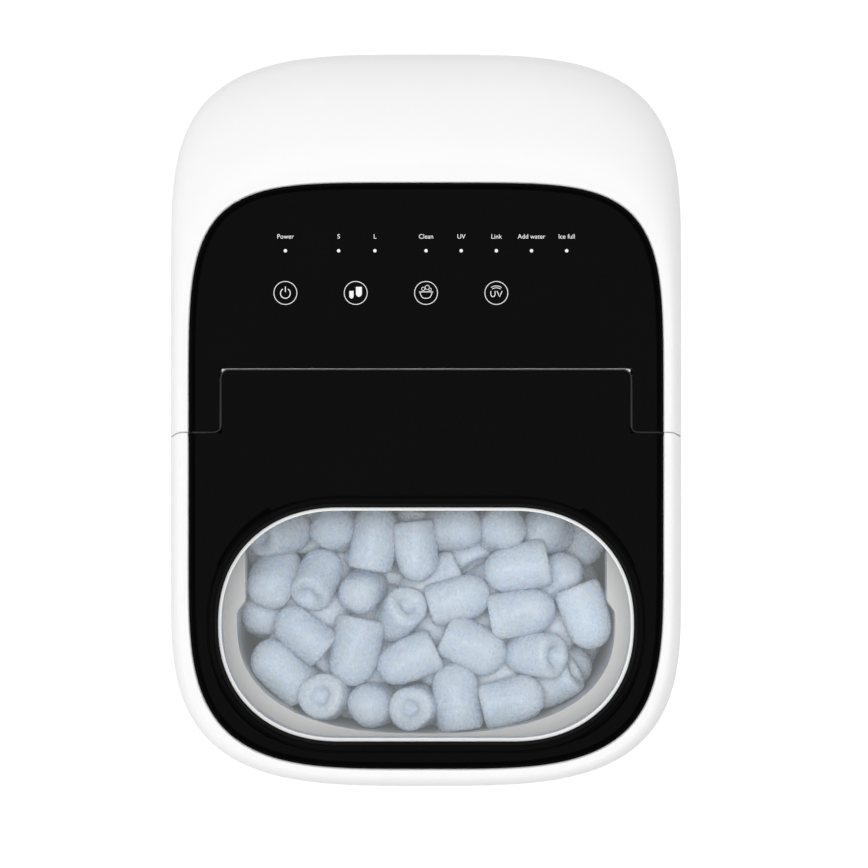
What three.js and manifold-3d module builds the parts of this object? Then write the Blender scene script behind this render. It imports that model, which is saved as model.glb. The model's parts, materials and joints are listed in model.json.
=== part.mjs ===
// Countertop bullet-ice maker, in millimetres, +Z up, with its front towards -Y.
// The origin is the middle of its footprint, on the surface that the feet stand on.
// The lid covers the front two thirds of the top; the control panel is fixed behind it.

import * as THREE from 'three';
import { mergeVertices } from 'three/addons/utils/BufferGeometryUtils.js';
import { ParametricGeometry } from 'three/addons/geometries/ParametricGeometry.js';
import Module from 'manifold-3d';

const wasm = await Module();
wasm.setup();

// ---- Driving dimensions ----------------------------------------------------------------

// Overall size
const WIDTH = 240;
const DEPTH = 345;
const HEIGHT = 325;

// General walls and gaps
const WALL = 2.5;          // moulded plastic walls
const GAP = 0.3;           // between pieces that touch
const SEAM = 0.6;          // open line between the lid and the fixed top
const RUNNING = 0.3;       // round a shaft or pin

// Plan shape of the housing: superelliptic front and rear, straight sides
const FRONT_CORNER = 96;   // depth of the rounded front
const REAR_CORNER = 100;   // depth of the rounded rear
const FRONT_POWER = 3.4;
const REAR_POWER = 3.6;
const FOOT_ROLL = 3;       // small roll round the bottom edge of the shell

// Black top panel, let into the white housing
const PANEL_SIDE = 8.6;    // from the side of the housing to the panel
const PANEL_FRONT = 8.3;   // from the front of the housing to the panel
const PANEL_BACK = 61.6;   // from the rear of the housing to the panel
const PANEL_FRONT_CORNER = 102;
const PANEL_REAR_CORNER = 114;
const PANEL_FRONT_POWER = 3.8;
const PANEL_REAR_POWER = 4.9;
const PANEL_THICK = 2.85;
const PANEL_SUNK = 0.15;   // below the crest of the white rim
const RIM_FLAT = 3;        // flat land of the rim beside the panel
const SIDE_DROP = 9;       // height of the rolled edge at the sides
const REAR_DROP = 32;      // height of the rolled shoulder at the rear

// Lid
const LID_DEPTH = 32;      // from the top down to the parting line
const PIVOT_SETBACK = 181; // hinge axis behind the front of the housing
const PIVOT_DEPTH = 9;     // hinge axis below the top
const TAB_REACH = 14.7;    // seams lie this far before and behind the axis
const TAB_HALF = 96.3;     // half the width of the hinged tab
const TAB_CORNER = 3.5;    // rounded plan corners of the tab
const PIN_RADIUS = 1.6;
const KNUCKLE_RADIUS = 4.5;
const KNUCKLE_LENGTH = 12;
const BRACKET_LENGTH = 9;
const BRACKET_HALF = 6;

// Window in the lid
const WINDOW_HALF = 97.6;
const WINDOW_FLAT = 40;    // half the straight run at its front and rear
const WINDOW_DEPTH = 109.8;
const WINDOW_FRONT = 21.2; // behind the front of the housing
const WINDOW_POWER = 2.2;
const BEZEL_WIDTH = 2;
const GLASS_THICK = 2.5;
const LEDGE = 1.5;         // shelf under the edge of the glass
const SEAL_INSET = 2;      // seal in from the edge of the tub's flange
const SEAL_WIDTH = 4;

// Base
const FOOT_HEIGHT = 8;
const FOOT_RADIUS = 12;
const FOOT_EASE = 2;       // bevel round the sole of a foot
const FOOT_SIDE = 38;      // feet in from the sides of the housing
const FOOT_END = 50.5;     // and in from its ends
const SHELL_BOTTOM = 12;
const PAN_THICK = 3;
const LUG_SIDE = 12;       // screw lugs in from the sides
const LUG_END = 82.5;      // and in from the ends
const LUG_SIZE = 14;
const LUG_HEIGHT = 6;
const SCREW_RADIUS = 1.6;
const SCREW_HEAD = 3.4;
const SCREW_HEAD_DEEP = 2.2;
const SCREW_LENGTH = 11;

// Insulation
const FOAM_WALL = 5;       // foam base inside the shell's wall
const JACKET_WALL = 1;     // foam jacket inside the shell's wall

// Inner tub, which is the water tank and holds the ice basket
const TUB_INSET = 12;      // from the outside of the housing to the outside of the tub
const TUB_FLOOR = 58;
const TUB_DROP = 1.5;      // top of the tub below the lid's parting line
const TUB_FLANGE = 6;
const PIPE_NOTCH = 29.5;   // notch in the tub's rear wall for the refrigerant pipes
const PIPE_NOTCH_SIDE = 16;

// Ice basket
const BASKET_SIDE = 28;    // basket wall inside the sides of the housing
const BASKET_FRONT = 21;   // basket wall behind the front of the housing
const BASKET_DROP = 57;    // rim of the basket below the top of the machine
const BASKET_DEPTH = 140;
const BASKET_FRONT_END = 56;
const BASKET_REAR_END = 24;
const BASKET_FRONT_POWER = 2.5;
const BASKET_REAR_POWER = 4;
const BASKET_WALL = 2;
const BASKET_FLANGE = 5.5;
const BASKET_TAPER = 5;    // draft of each wall from rim to floor
const ENTRY_HALF = 68;     // half the width of the low stretch of the rear wall
const ENTRY_DROP = 56;     // depth of that low stretch below the rim
const GRIP_START = 61.5;   // finger slots in the side walls, behind the front of the basket
const GRIP_LENGTH = 30;
const GRIP_DEPTH = 24;
const DRIP_PITCH = 30;     // slots in the floor, for melted ice
const DRIP_WIDTH = 16;
const DRIP_OPEN = 4;
const HEAP_MARGIN = 1;
const HEAP_RISE = 40;      // top of the heap of ice above the low rear wall
const HEAP_SHOULDER = 12;

// Ice making
const TRAY_SETBACK = 180.5; // the tray's axis behind the front of the housing
const TRAY_RADIUS = 34;    // inside of the round tray
const TRAY_ROOM = 10;      // free space before and behind the turning tray
const TRAY_DROP = 85;      // the tray's axis below the top of the machine
const TRAY_WALL = 2;
const TRAY_HALF = 66;
const TRAY_SPAN = 70;      // degrees of tray each side of straight down
const ARM_HALF = 7;        // half the width of the arms at the tray's ends
const SPINDLE_RADIUS = 4;
const SPINDLE_LENGTH = 12;
const BEARING_SIZE = 20;
const BEARING_THICK = 8;
const BEARING_PLAY = 2;    // between the tray's end and its bearing
const MOTOR_WIDTH = 20;
const MOTOR_HALF = 14;
const MOTOR_RISE = 20;
const MOTOR_TAB = 4;
const SHOVEL_OVERHANG = 7; // tip of the shovel blade beyond the inside of the tray
const CHUTE_SPACE = 6.5;   // chute outside the turning tray
const FINGERS = 8;
const FINGER_PITCH = 14.5;
const FINGER_RADIUS = 4;
const FINGER_SPACE = 6;    // finger tips above the bottom of the tray
const HEADER_RADIUS = 5;
const PIPE_RADIUS = 3;
const PIPE_RISE = 42;      // refrigerant pipes above the tray's axis
const PIPE_TAIL = 12;      // their length behind the tub
const PUMP_X = -88;
const PUMP_SETBACK = 16;   // pump before the tray's axis
const PUMP_RADIUS = 12;
const PUMP_HEIGHT = 34;
const TUBE_RADIUS = 3.5;
const SPOUT_RISE = 28;     // water spout above the tray's axis
const SPOUT_BEND = 14;
const SENSOR_START = 100.5; // ice sensors behind the front of the housing
const SENSOR_LENGTH = 14;
const SENSOR_HEIGHT = 11;
const SENSOR_THICK = 5;
const SENSOR_DROP = 5;
const LAMP_HALF = 14;
const LAMP_HEIGHT = 10;
const LAMP_THICK = 6;

// Cooling, in the bay behind the tub
const COMPRESSOR_X = -48;
const COMPRESSOR_SPACE = 10; // between the tub and the can
const COMPRESSOR_RADIUS = 46;
const COMPRESSOR_HEIGHT = 118;
const COMPRESSOR_FEET = 3;
const COMPRESSOR_SEAM = 1.5; // weld seam round the can, proud of its wall
const MOUNT_HEIGHT = 10;
const MOUNT_RADIUS = 8;
const MOUNT_WAIST = 6;
const MOUNT_INSET = 16;
const FAN_X = 56;
const FAN_Z = 78;
const FAN_END = 67.5;      // fan before the rear of the housing
const FAN_RADIUS = 40;
const FAN_BLADES = 7;
const FAN_HUB = 12;
const FAN_DEPTH = 12;
const FAN_SHAFT = 2.5;
const FAN_MOTOR_RADIUS = 17;
const FAN_MOTOR_DEPTH = 20;
const BLADE_THICK = 1.6;
const BLADE_CHORD = 17;
const BLADE_PITCH = 35;    // degrees
const BLADE_ROOT = 2;      // length of a blade sunk in the hub
const SHROUD_THICK = 6;
const SHROUD_SPACE = 2;
const CONDENSER_END = 44.5;
const CONDENSER_DEPTH = 16;
const CONDENSER_FINS = 8;
const FIN_HALF = 0.6;
const COIL_HALF = 46;      // half the width of the condenser and the shroud
const COIL_PITCH = 28;

// Boards
const BOARD_THICK = 1.6;
const BOARD_DROP = 3;      // control board below the deck
const BOARD_HALF = 84;
const BOARD_FRONT = 36;    // its front edge behind the lid's hinge axis
const BOARD_BACK = 14;     // its rear edge before the rear of the panel
const POWER_LEFT = -84;
const POWER_RIGHT = -10;
const POWER_LIFT = 40.4;   // power board above the compressor
const POWER_HEIGHT = 82;
const POWER_SPACE = 12;    // power board behind the tub

// Rear grille, rear plate, side vents and outlets
const GRILLE_HALF = 84;
const GRILLE_LOW = 34;
const GRILLE_DROP = 89;    // top of the grille below the top of the machine
const GRILLE_FRAME = 12;
const GRILLE_RIB = 8;      // upright rib in the middle of the grille
const PLATE_HEIGHT = 34;   // plain plate with the mains inlet, below the grille
const LOUVRE_PITCH = 14;
const LOUVRE_OPEN = 7;
const VENT_FRONT = 30;
const VENT_LENGTH = 60;
const VENT_LOW = 60;
const VENT_HIGH = 160;
const INLET_X = 46;
const INLET_Z = 52;
const INLET_WIDTH = 28;
const INLET_HEIGHT = 20;
const INLET_DEPTH = 13.5;
const INLET_SUNK = 2;      // face of the inlet before the rearmost point of the housing
const SOCKET_WIDTH = 22;
const SOCKET_HEIGHT = 14;
const SOCKET_DEPTH = 11;
const PRONG_PITCH = 6;
const PRONG_WIDTH = 2;
const PRONG_HEIGHT = 4;
const PRONG_LENGTH = 8;
const DRAIN_RADIUS = 9;
const DRAIN_START = 82.5;  // drain behind the front of the housing
const DRAIN_RISE = 12;     // drain above the floor of the tub
const DRAIN_WALL = 4;      // wall of the drain tube
const DRAIN_RIM = 1.5;     // wall left round the plug's head
const DRAIN_HEAD = 4;      // how far the head of the plug is sunk in the wall

// Smoothness of the faceted curves
const RAYS = 48;
const ROLL_STEPS = 4;
const ROUND = 20;

// ---- Derived places --------------------------------------------------------------------

const HALF = WIDTH / 2;
const FRONT = -DEPTH / 2;
const REAR = DEPTH / 2;
const PART_LINE = HEIGHT - LID_DEPTH;
const PANEL_TOP = HEIGHT - PANEL_SUNK;
const PANEL_BOTTOM = PANEL_TOP - PANEL_THICK;
const DECK_TOP = PANEL_BOTTOM - GAP;
const DECK_BOTTOM = DECK_TOP - WALL;
const AXIS_Y = FRONT + PIVOT_SETBACK;
const AXIS_Z = HEIGHT - PIVOT_DEPTH;
const HINGE_RADIUS = Math.hypot(TAB_REACH, PIVOT_DEPTH);
const TROUGH_INSIDE = HINGE_RADIUS + SEAM + GAP;    // a gutter just outside the sweep of the tab
const TROUGH_OUTSIDE = TROUGH_INSIDE + WALL - SEAM;
const LINER_BACK = AXIS_Y - TROUGH_OUTSIDE - WALL;
const LINER_LOW = PART_LINE + 1;

const PAN_TOP = FOOT_HEIGHT + PAN_THICK;
const FOOT_X = HALF - FOOT_SIDE;
const FOOT_Y = REAR - FOOT_END;
const LUG_X = HALF - LUG_SIDE;
const LUG_Y = REAR - LUG_END;
const LUG_TOP = SHELL_BOTTOM + FOOT_ROLL + LUG_HEIGHT;
const FOAM_LOW = LUG_TOP + GAP;
const VENT_BACK = VENT_FRONT + VENT_LENGTH;

const TRAY_AXIS_Y = FRONT + TRAY_SETBACK;
const BASKET_BACK = TRAY_AXIS_Y - TRAY_RADIUS - TRAY_ROOM;
const BASKET_HALF = HALF - BASKET_SIDE;
const BASKET_RIM = HEIGHT - BASKET_DROP;
const BASKET_FLOOR = BASKET_RIM - BASKET_DEPTH;
const ENTRY_SILL = BASKET_RIM - ENTRY_DROP;
const GRIP_FRONT = FRONT + BASKET_FRONT + GRIP_START;
const GRIP_BACK = GRIP_FRONT + GRIP_LENGTH;

const TRAY_AXIS_Z = HEIGHT - TRAY_DROP;
const AXLE = [TRAY_AXIS_Y, TRAY_AXIS_Z];
const SHOVEL_REACH = TRAY_RADIUS + SHOVEL_OVERHANG;
const CHUTE_RADIUS = TRAY_RADIUS + TRAY_WALL + CHUTE_SPACE;
const FINGER_DROP = TRAY_RADIUS - FINGER_SPACE;
const PUMP_Y = TRAY_AXIS_Y - PUMP_SETBACK;
const PUMP_TOP = TUB_FLOOR + PUMP_HEIGHT;
const SPOUT_Z = TRAY_AXIS_Z + SPOUT_RISE;

const TUB_TOP = PART_LINE - TUB_DROP;
const TUB_BACK = TRAY_AXIS_Y + TRAY_RADIUS + TRAY_ROOM;
const TUB_INNER_BACK = TUB_BACK - WALL - GAP;
const DRAIN_AXIS = [FRONT + DRAIN_START, TUB_FLOOR + DRAIN_RISE];

const COMPRESSOR_Y = TUB_BACK + COMPRESSOR_SPACE + COMPRESSOR_RADIUS;
const COMPRESSOR_LOW = PAN_TOP + GAP + MOUNT_HEIGHT + GAP;
const FAN_Y = REAR - FAN_END;
const CONDENSER_Y = REAR - CONDENSER_END;
const COIL_LOW = FAN_Z - COIL_HALF;
const COIL_HIGH = FAN_Z + COIL_HALF;
const GRILLE_HIGH = HEIGHT - GRILLE_DROP;
const PLATE_TOP = GRILLE_LOW + PLATE_HEIGHT;

const BODY = {
  half: HALF, front: FRONT, rear: REAR, flat: 0, frontEnd: FRONT_CORNER, rearEnd: REAR_CORNER,
  frontPower: FRONT_POWER, rearPower: REAR_POWER, centre: 0,
};
const PANEL = {
  half: HALF - PANEL_SIDE, front: FRONT + PANEL_FRONT, rear: REAR - PANEL_BACK, flat: 0,
  frontEnd: PANEL_FRONT_CORNER, rearEnd: PANEL_REAR_CORNER,
  frontPower: PANEL_FRONT_POWER, rearPower: PANEL_REAR_POWER, centre: 0,
};
const WINDOW = {
  half: WINDOW_HALF, front: FRONT + WINDOW_FRONT, rear: FRONT + WINDOW_FRONT + WINDOW_DEPTH,
  flat: WINDOW_FLAT, frontEnd: WINDOW_DEPTH / 2, rearEnd: WINDOW_DEPTH / 2,
  frontPower: WINDOW_POWER, rearPower: WINDOW_POWER,
  centre: FRONT + WINDOW_FRONT + WINDOW_DEPTH / 2,
};

// ---- Solids ----------------------------------------------------------------------------

// A closed mesh becomes a solid: shared corners are merged and collapsed faces dropped.
function solid(geometry) {
  const bare = geometry.clone();
  bare.deleteAttribute('normal');
  bare.deleteAttribute('uv');
  const merged = mergeVertices(bare, 1e-4);
  const index = merged.index.array;
  const faces = [];
  for (let i = 0; i < index.length; i += 3) {
    const [a, b, c] = [index[i], index[i + 1], index[i + 2]];
    if (a !== b && b !== c && c !== a) faces.push(a, b, c);
  }
  const vertProperties = new Float32Array(merged.attributes.position.array);
  return new wasm.Manifold(new wasm.Mesh({ numProp: 3, vertProperties, triVerts: new Uint32Array(faces) }));
}

function join(...solids) {
  return solids.reduce((whole, next) => whole.add(next));
}

function box(x0, x1, y0, y1, z0, z1) {
  const geometry = new THREE.BoxGeometry(x1 - x0, y1 - y0, z1 - z0);
  geometry.translate((x0 + x1) / 2, (y0 + y1) / 2, (z0 + z1) / 2);
  return solid(geometry);
}

// A box given by the half-width that it spans across the middle plane.
function beam(half, y0, y1, z0, z1) {
  return box(-half, half, y0, y1, z0, z1);
}

function prism(points, low, high) {
  const shape = new THREE.Shape(points);
  const geometry = new THREE.ExtrudeGeometry(shape, { depth: high - low, bevelEnabled: false });
  geometry.translate(0, 0, low);
  return solid(geometry);
}

// Extrudes a profile, given as (y, z) points, along X.
const ALONG_X = new THREE.Matrix4().makeBasis(
  new THREE.Vector3(0, 1, 0), new THREE.Vector3(0, 0, 1), new THREE.Vector3(1, 0, 0),
);
function slab(profile, low, high) {
  const shape = new THREE.Shape(profile.map(([y, z]) => new THREE.Vector2(y, z)));
  const geometry = new THREE.ExtrudeGeometry(shape, { depth: high - low, bevelEnabled: false });
  geometry.translate(0, 0, low);
  geometry.applyMatrix4(ALONG_X);
  return solid(geometry);
}

// A lathe turns its profile about Y; these carry Y to the axis that is wanted.
const TURNS = {
  x: new THREE.Matrix4().makeRotationZ(-Math.PI / 2),
  y: new THREE.Matrix4(),
  z: new THREE.Matrix4().makeRotationX(Math.PI / 2),
};

// A turned piece: the profile is a list of (radius, height) points that starts and ends on the
// axis. The axis passes through the centre, and heights run along it from there.
function turnedAlong(axis, centre, profile, steps = ROUND) {
  const geometry = new THREE.LatheGeometry(profile.map(([r, z]) => new THREE.Vector2(r, z)), steps);
  geometry.applyMatrix4(TURNS[axis]);
  geometry.translate(...centre);
  return solid(geometry);
}

function turned(profile, steps = ROUND) {
  return turnedAlong('z', [0, 0, 0], profile, steps);
}

// A round bar along an axis, from one height to another.
function rod(axis, centre, radius, low, high, steps = ROUND) {
  return turnedAlong(axis, centre, [[0, low], [radius, low], [radius, high], [0, high]], steps);
}

// ---- Outlines --------------------------------------------------------------------------

// How far a point is from the middle of an outline, as a share of the way to its edge: |x|^n + |y|^n.
function reach(outline, x, y) {
  const { half, front, rear, flat, frontEnd, rearEnd } = outline;
  const back = y > (front + frontEnd + rear - rearEnd) / 2;
  const power = back ? outline.rearPower : outline.frontPower;
  const across = Math.max(0, Math.abs(x) - flat) / (half - flat);
  const along = back ? Math.max(0, y - (rear - rearEnd)) / rearEnd
    : Math.max(0, front + frontEnd - y) / frontEnd;
  return across ** power + along ** power;
}

// The point where a ray from the outline's centre crosses its edge, by halving.
function edge(outline, angle) {
  const direction = [Math.cos(angle), Math.sin(angle)];
  let low = 0;
  let high = 2 * (outline.rear - outline.front);
  for (let i = 0; i < 48; i += 1) {
    const middle = (low + high) / 2;
    const inside = reach(outline, middle * direction[0], outline.centre + middle * direction[1]) < 1;
    if (inside) low = middle;
    else high = middle;
  }
  return new THREE.Vector2(low * direction[0], outline.centre + low * direction[1]);
}

function ring(outline, rays = RAYS) {
  return Array.from({ length: rays }, (_, i) => edge(outline, (2 * Math.PI * i) / rays));
}

// The same outline drawn in by a distance all round, or grown by a negative one.
function inset(outline, distance) {
  return {
    ...outline, half: outline.half - distance, front: outline.front + distance,
    rear: outline.rear - distance, frontEnd: outline.frontEnd - distance,
    rearEnd: outline.rearEnd - distance,
  };
}

// A closed skin through level or waved rings of points, with a flat cap at each end.
function skin(rings) {
  const middle = (points) => points
    .reduce((sum, point) => sum.add(point), new THREE.Vector3())
    .divideScalar(points.length);
  const cap = (points) => points.map(() => middle(points));
  const stack = [cap(rings[0]), ...rings, cap(rings.at(-1))];
  const place = (u, v, target) => {
    const level = stack[Math.round(v * (stack.length - 1))];
    target.copy(level[Math.round(u * level.length) % level.length]);
  };
  return solid(new ParametricGeometry(place, rings[0].length, stack.length - 1));
}

function level(outline, height) {
  return ring(outline).map((point) => new THREE.Vector3(point.x, point.y, height));
}

// ---- Housing ---------------------------------------------------------------------------

// Rings of the rolled top edge: a quarter ellipse from the wall to the rim at every ray, as wide
// as the space between them, and deeper where that space is wider.
function rolledEdge(wall, rim, top) {
  const outer = ring(wall);
  const inner = ring(rim);
  const widest = REAR - (PANEL.rear + RIM_FLAT);
  const narrowest = PANEL_SIDE - RIM_FLAT;
  const drops = outer.map((point, i) => {
    const share = (point.distanceTo(inner[i]) - narrowest) / (widest - narrowest);
    return SIDE_DROP + (REAR_DROP - SIDE_DROP) * Math.min(1, Math.max(0, share));
  });
  return Array.from({ length: ROLL_STEPS + 1 }, (_, step) => {
    const turn = (step / ROLL_STEPS) * (Math.PI / 2);
    return outer.map((point, i) => {
      const across = point.clone().lerp(inner[i], 1 - Math.cos(turn));
      return new THREE.Vector3(across.x, across.y, top - drops[i] * (1 - Math.sin(turn)));
    });
  });
}

// The whole white housing before it is parted: a tall shell with a sunken deck under the panel.
function wholeHousing() {
  const rim = inset(PANEL, -RIM_FLAT);
  const outside = skin([
    level(inset(BODY, FOOT_ROLL), SHELL_BOTTOM),
    level(BODY, SHELL_BOTTOM + FOOT_ROLL),
    ...rolledEdge(BODY, rim, HEIGHT),
  ]);
  const inside = skin([
    level(inset(BODY, WALL + FOOT_ROLL), SHELL_BOTTOM - 1),
    level(inset(BODY, WALL), SHELL_BOTTOM + FOOT_ROLL + WALL),
    ...rolledEdge(inset(BODY, WALL), inset(rim, WALL / 2), DECK_BOTTOM),
  ]);
  const recess = prism(ring(inset(PANEL, -GAP)), DECK_TOP, HEIGHT + 1);
  return outside.subtract(inside).subtract(recess);
}

// Side view of everything before the hinge axis, bounded behind by an arc about that axis and,
// below the axis, by an upright line. A larger radius stands further in front.
function frontProfile(radius, bottom) {
  const points = [[FRONT - 1, bottom], [AXIS_Y - radius, bottom], [AXIS_Y - radius, AXIS_Z]];
  const top = HEIGHT + 1 - AXIS_Z;
  for (let i = 1; i <= 6; i += 1) {
    const height = (top * i) / 6;
    points.push([AXIS_Y - Math.sqrt(radius ** 2 - height ** 2), AXIS_Z + height]);
  }
  points.push([FRONT - 1, HEIGHT + 1]);
  return points;
}

// A drum about the hinge axis, whose ends are eased so that the tab has rounded plan corners.
function hingeDrum(radius, half) {
  const reachAt = (inward) => Math.hypot(
    Math.sqrt(radius ** 2 - PIVOT_DEPTH ** 2) - TAB_CORNER
      + Math.sqrt(TAB_CORNER ** 2 - (TAB_CORNER - inward) ** 2),
    PIVOT_DEPTH,
  );
  const eased = Array.from({ length: 5 }, (_, i) => {
    const inward = TAB_CORNER * (1 - Math.cos(((i / 4) * Math.PI) / 2));
    return [reachAt(inward), inward];
  });
  const profile = [
    [0, -half],
    ...eased.map(([r, inward]) => [r, inward - half]),
    ...eased.toReversed().map(([r, inward]) => [r, half - inward]),
    [0, half],
  ];
  return turnedAlong('x', [0, AXIS_Y, AXIS_Z], profile, 2 * ROUND);
}

// Everything that swings with the lid above the parting line.
function lidRegion() {
  const sides = slab(frontProfile(HINGE_RADIUS + SEAM / 2, PART_LINE + GAP), -WIDTH, WIDTH);
  const tab = beam(TAB_HALF - SEAM / 2, AXIS_Y - 2 * HINGE_RADIUS, AXIS_Y, DECK_BOTTOM - 1, HEIGHT + 1);
  return join(sides, tab, hingeDrum(HINGE_RADIUS - SEAM / 2, TAB_HALF - SEAM / 2));
}

// Everything that the fixed top has to stay clear of.
function lidClearance() {
  const sides = slab(frontProfile(HINGE_RADIUS - SEAM / 2, PART_LINE - 1), -WIDTH, WIDTH);
  const tab = beam(TAB_HALF + SEAM / 2, AXIS_Y - 2 * HINGE_RADIUS, AXIS_Y, PART_LINE - 1, HEIGHT + 1);
  return join(sides, tab, hingeDrum(HINGE_RADIUS + SEAM / 2, TAB_HALF + SEAM / 2));
}

function lidShell(whole) {
  const region = lidRegion();
  const edgeWall = hingeDrum(HINGE_RADIUS - SEAM / 2, TAB_HALF - SEAM / 2)
    .subtract(rod('x', [0, AXIS_Y, AXIS_Z], HINGE_RADIUS - SEAM / 2 - WALL, -WIDTH, WIDTH, 2 * ROUND))
    .intersect(beam(WIDTH, AXIS_Y, REAR, AXIS_Z - WALL, DECK_TOP));
  const knuckles = mirrored((side) => barAcross(
    side, [AXIS_Y, AXIS_Z], KNUCKLE_RADIUS,
    TAB_HALF - SEAM / 2 - KNUCKLE_LENGTH, TAB_HALF - SEAM / 2,
  ));
  const bores = rod('x', [0, AXIS_Y, AXIS_Z], PIN_RADIUS + RUNNING, -WIDTH, WIDTH);
  const ledge = prism(ring(inset(WINDOW, LEDGE)), PART_LINE, HEIGHT);
  return join(whole.intersect(region), edgeWall, ...knuckles).subtract(bores).subtract(ledge);
}

// A round bar along X on one side of the middle plane, between two distances from it.
function barAcross(side, [y, z], radius, near, far) {
  return rod('x', [0, y, z], radius, ...[side * near, side * far].toSorted((a, b) => a - b));
}

// A box on one side of the middle plane, between two distances from it.
function boxAcross(side, near, far, y0, y1, z0, z1) {
  return box(...[side * near, side * far].toSorted((a, b) => a - b), y0, y1, z0, z1);
}

function mirrored(make) {
  return [-1, 1].map(make);
}

function panelSheet() {
  return prism(ring(PANEL), PANEL_BOTTOM, PANEL_TOP);
}

function lidPanel() {
  const window = prism(ring(inset(WINDOW, -BEZEL_WIDTH - GAP)), PART_LINE, HEIGHT);
  return panelSheet().intersect(lidRegion()).subtract(window);
}

function windowBezel() {
  return prism(ring(inset(WINDOW, -BEZEL_WIDTH)), PANEL_BOTTOM, PANEL_TOP)
    .subtract(prism(ring(WINDOW), PART_LINE, HEIGHT));
}

function lidWindow() {
  return prism(ring(inset(WINDOW, GAP)), PANEL_BOTTOM, PANEL_BOTTOM + GLASS_THICK);
}

function lidLiner() {
  const plate = prism(ring(inset(BODY, WALL + 2 * GAP)), LINER_LOW, LINER_LOW + WALL);
  const collar = prism(ring(inset(WINDOW, LEDGE - WALL)), LINER_LOW, DECK_BOTTOM - GAP);
  const hole = prism(ring(inset(WINDOW, LEDGE)), PART_LINE, HEIGHT);
  const kept = beam(WIDTH, FRONT, LINER_BACK, PART_LINE, HEIGHT);
  return plate.add(collar).subtract(hole).intersect(kept);
}

function lidSeal() {
  const band = (distance) => prism(ring(inset(BODY, distance)), TUB_TOP + GAP, LINER_LOW - GAP)
    .intersect(beam(WIDTH, FRONT, LINER_BACK + TUB_FLANGE - distance, PART_LINE - WALL, HEIGHT));
  return band(TUB_FLANGE + SEAL_INSET).subtract(band(TUB_FLANGE + SEAL_INSET + SEAL_WIDTH));
}

function rearTopCover(whole) {
  const above = beam(WIDTH, FRONT, REAR + 1, PART_LINE, HEIGHT + 1);
  return whole.intersect(above).subtract(lidClearance());
}

function controlPanel() {
  return panelSheet().subtract(lidClearance());
}

// A gutter profile: a band between two radii about a centre, over a range of degrees from +Y.
function arcBand([y, z], inside, outside, from, to, steps = 16) {
  const arc = (radius) => Array.from({ length: steps + 1 }, (_, i) => {
    const angle = THREE.MathUtils.degToRad(from + ((to - from) * i) / steps);
    return [y + radius * Math.cos(angle), z + radius * Math.sin(angle)];
  });
  return [...arc(outside), ...arc(inside).toReversed()];
}

function hingeTrough() {
  const half = TAB_HALF - GAP;
  return slab(arcBand([AXIS_Y, AXIS_Z], TROUGH_INSIDE, TROUGH_OUTSIDE, 190, 348), -half, half);
}

function hingeBracket(side) {
  const near = TAB_HALF + SEAM;
  const block = boxAcross(
    side, near, near + BRACKET_LENGTH, AXIS_Y - BRACKET_HALF, AXIS_Y + BRACKET_HALF,
    AXIS_Z - BRACKET_HALF, DECK_BOTTOM - GAP,
  );
  return block.subtract(rod('x', [0, AXIS_Y, AXIS_Z], PIN_RADIUS + RUNNING, -WIDTH, WIDTH));
}

function hingePin(side) {
  const ends = [TAB_HALF - KNUCKLE_LENGTH, TAB_HALF + BRACKET_LENGTH];
  return barAcross(side, [AXIS_Y, AXIS_Z], PIN_RADIUS, ...ends);
}

// A row of level slots, as boxes to cut, one above another.
function slots(x0, x1, y0, y1, low, high) {
  const count = Math.floor((high - low) / LOUVRE_PITCH);
  return join(...Array.from({ length: count }, (_, i) => {
    const z = low + i * LOUVRE_PITCH;
    return box(x0, x1, y0, y1, z, z + LOUVRE_OPEN);
  }));
}

function outerShell(whole) {
  const below = beam(WIDTH, FRONT - 1, REAR + 1, 0, PART_LINE - GAP);
  const lugs = mirrored((side) => mirrored((end) => boxAcross(
    side, LUG_X - LUG_SIZE / 2, HALF - WALL / 2, end * LUG_Y - LUG_SIZE / 2, end * LUG_Y + LUG_SIZE / 2,
    SHELL_BOTTOM + FOOT_ROLL, LUG_TOP,
  ))).flat();
  const grille = beam(GRILLE_HALF, REAR - REAR_CORNER, REAR + 1, GRILLE_LOW, GRILLE_HIGH);
  const vents = slots(-WIDTH, WIDTH, VENT_FRONT, VENT_BACK, VENT_LOW, VENT_HIGH);
  return join(whole.intersect(below), ...lugs)
    .subtract(join(grille, vents, drainRod(DRAIN_RADIUS + GAP, 0, WIDTH), ...screwHoles()));
}

function screwHoles() {
  return mirrored((side) => mirrored((end) => rod(
    'z', [side * LUG_X, end * LUG_Y, 0], SCREW_RADIUS + GAP, 0, LUG_TOP + 1, 12,
  ))).flat();
}

function drainRod(radius, near, far) {
  return barAcross(1, DRAIN_AXIS, radius, near, far);
}

// A stretch of the housing's own wall, filling the big hole in the shell's rear.
function rearWall(low, high) {
  return prism(ring(BODY), low, high)
    .subtract(prism(ring(inset(BODY, WALL)), 0, HEIGHT))
    .intersect(beam(GRILLE_HALF - GAP, REAR - REAR_CORNER, REAR + 1, 0, HEIGHT));
}

function rearGrille() {
  const openings = mirrored((side) => {
    const ends = [side * GRILLE_RIB / 2, side * (GRILLE_HALF - GRILLE_FRAME)].toSorted((a, b) => a - b);
    return slots(...ends, 0, REAR + 1, PLATE_TOP + GRILLE_FRAME / 3, GRILLE_HIGH - GRILLE_FRAME / 2);
  });
  return rearWall(PLATE_TOP + GAP, GRILLE_HIGH - GAP).subtract(join(...openings));
}

function rearPlate() {
  return rearWall(GRILLE_LOW + GAP, PLATE_TOP).subtract(inletBlock(GAP, REAR + WALL));
}

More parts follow.
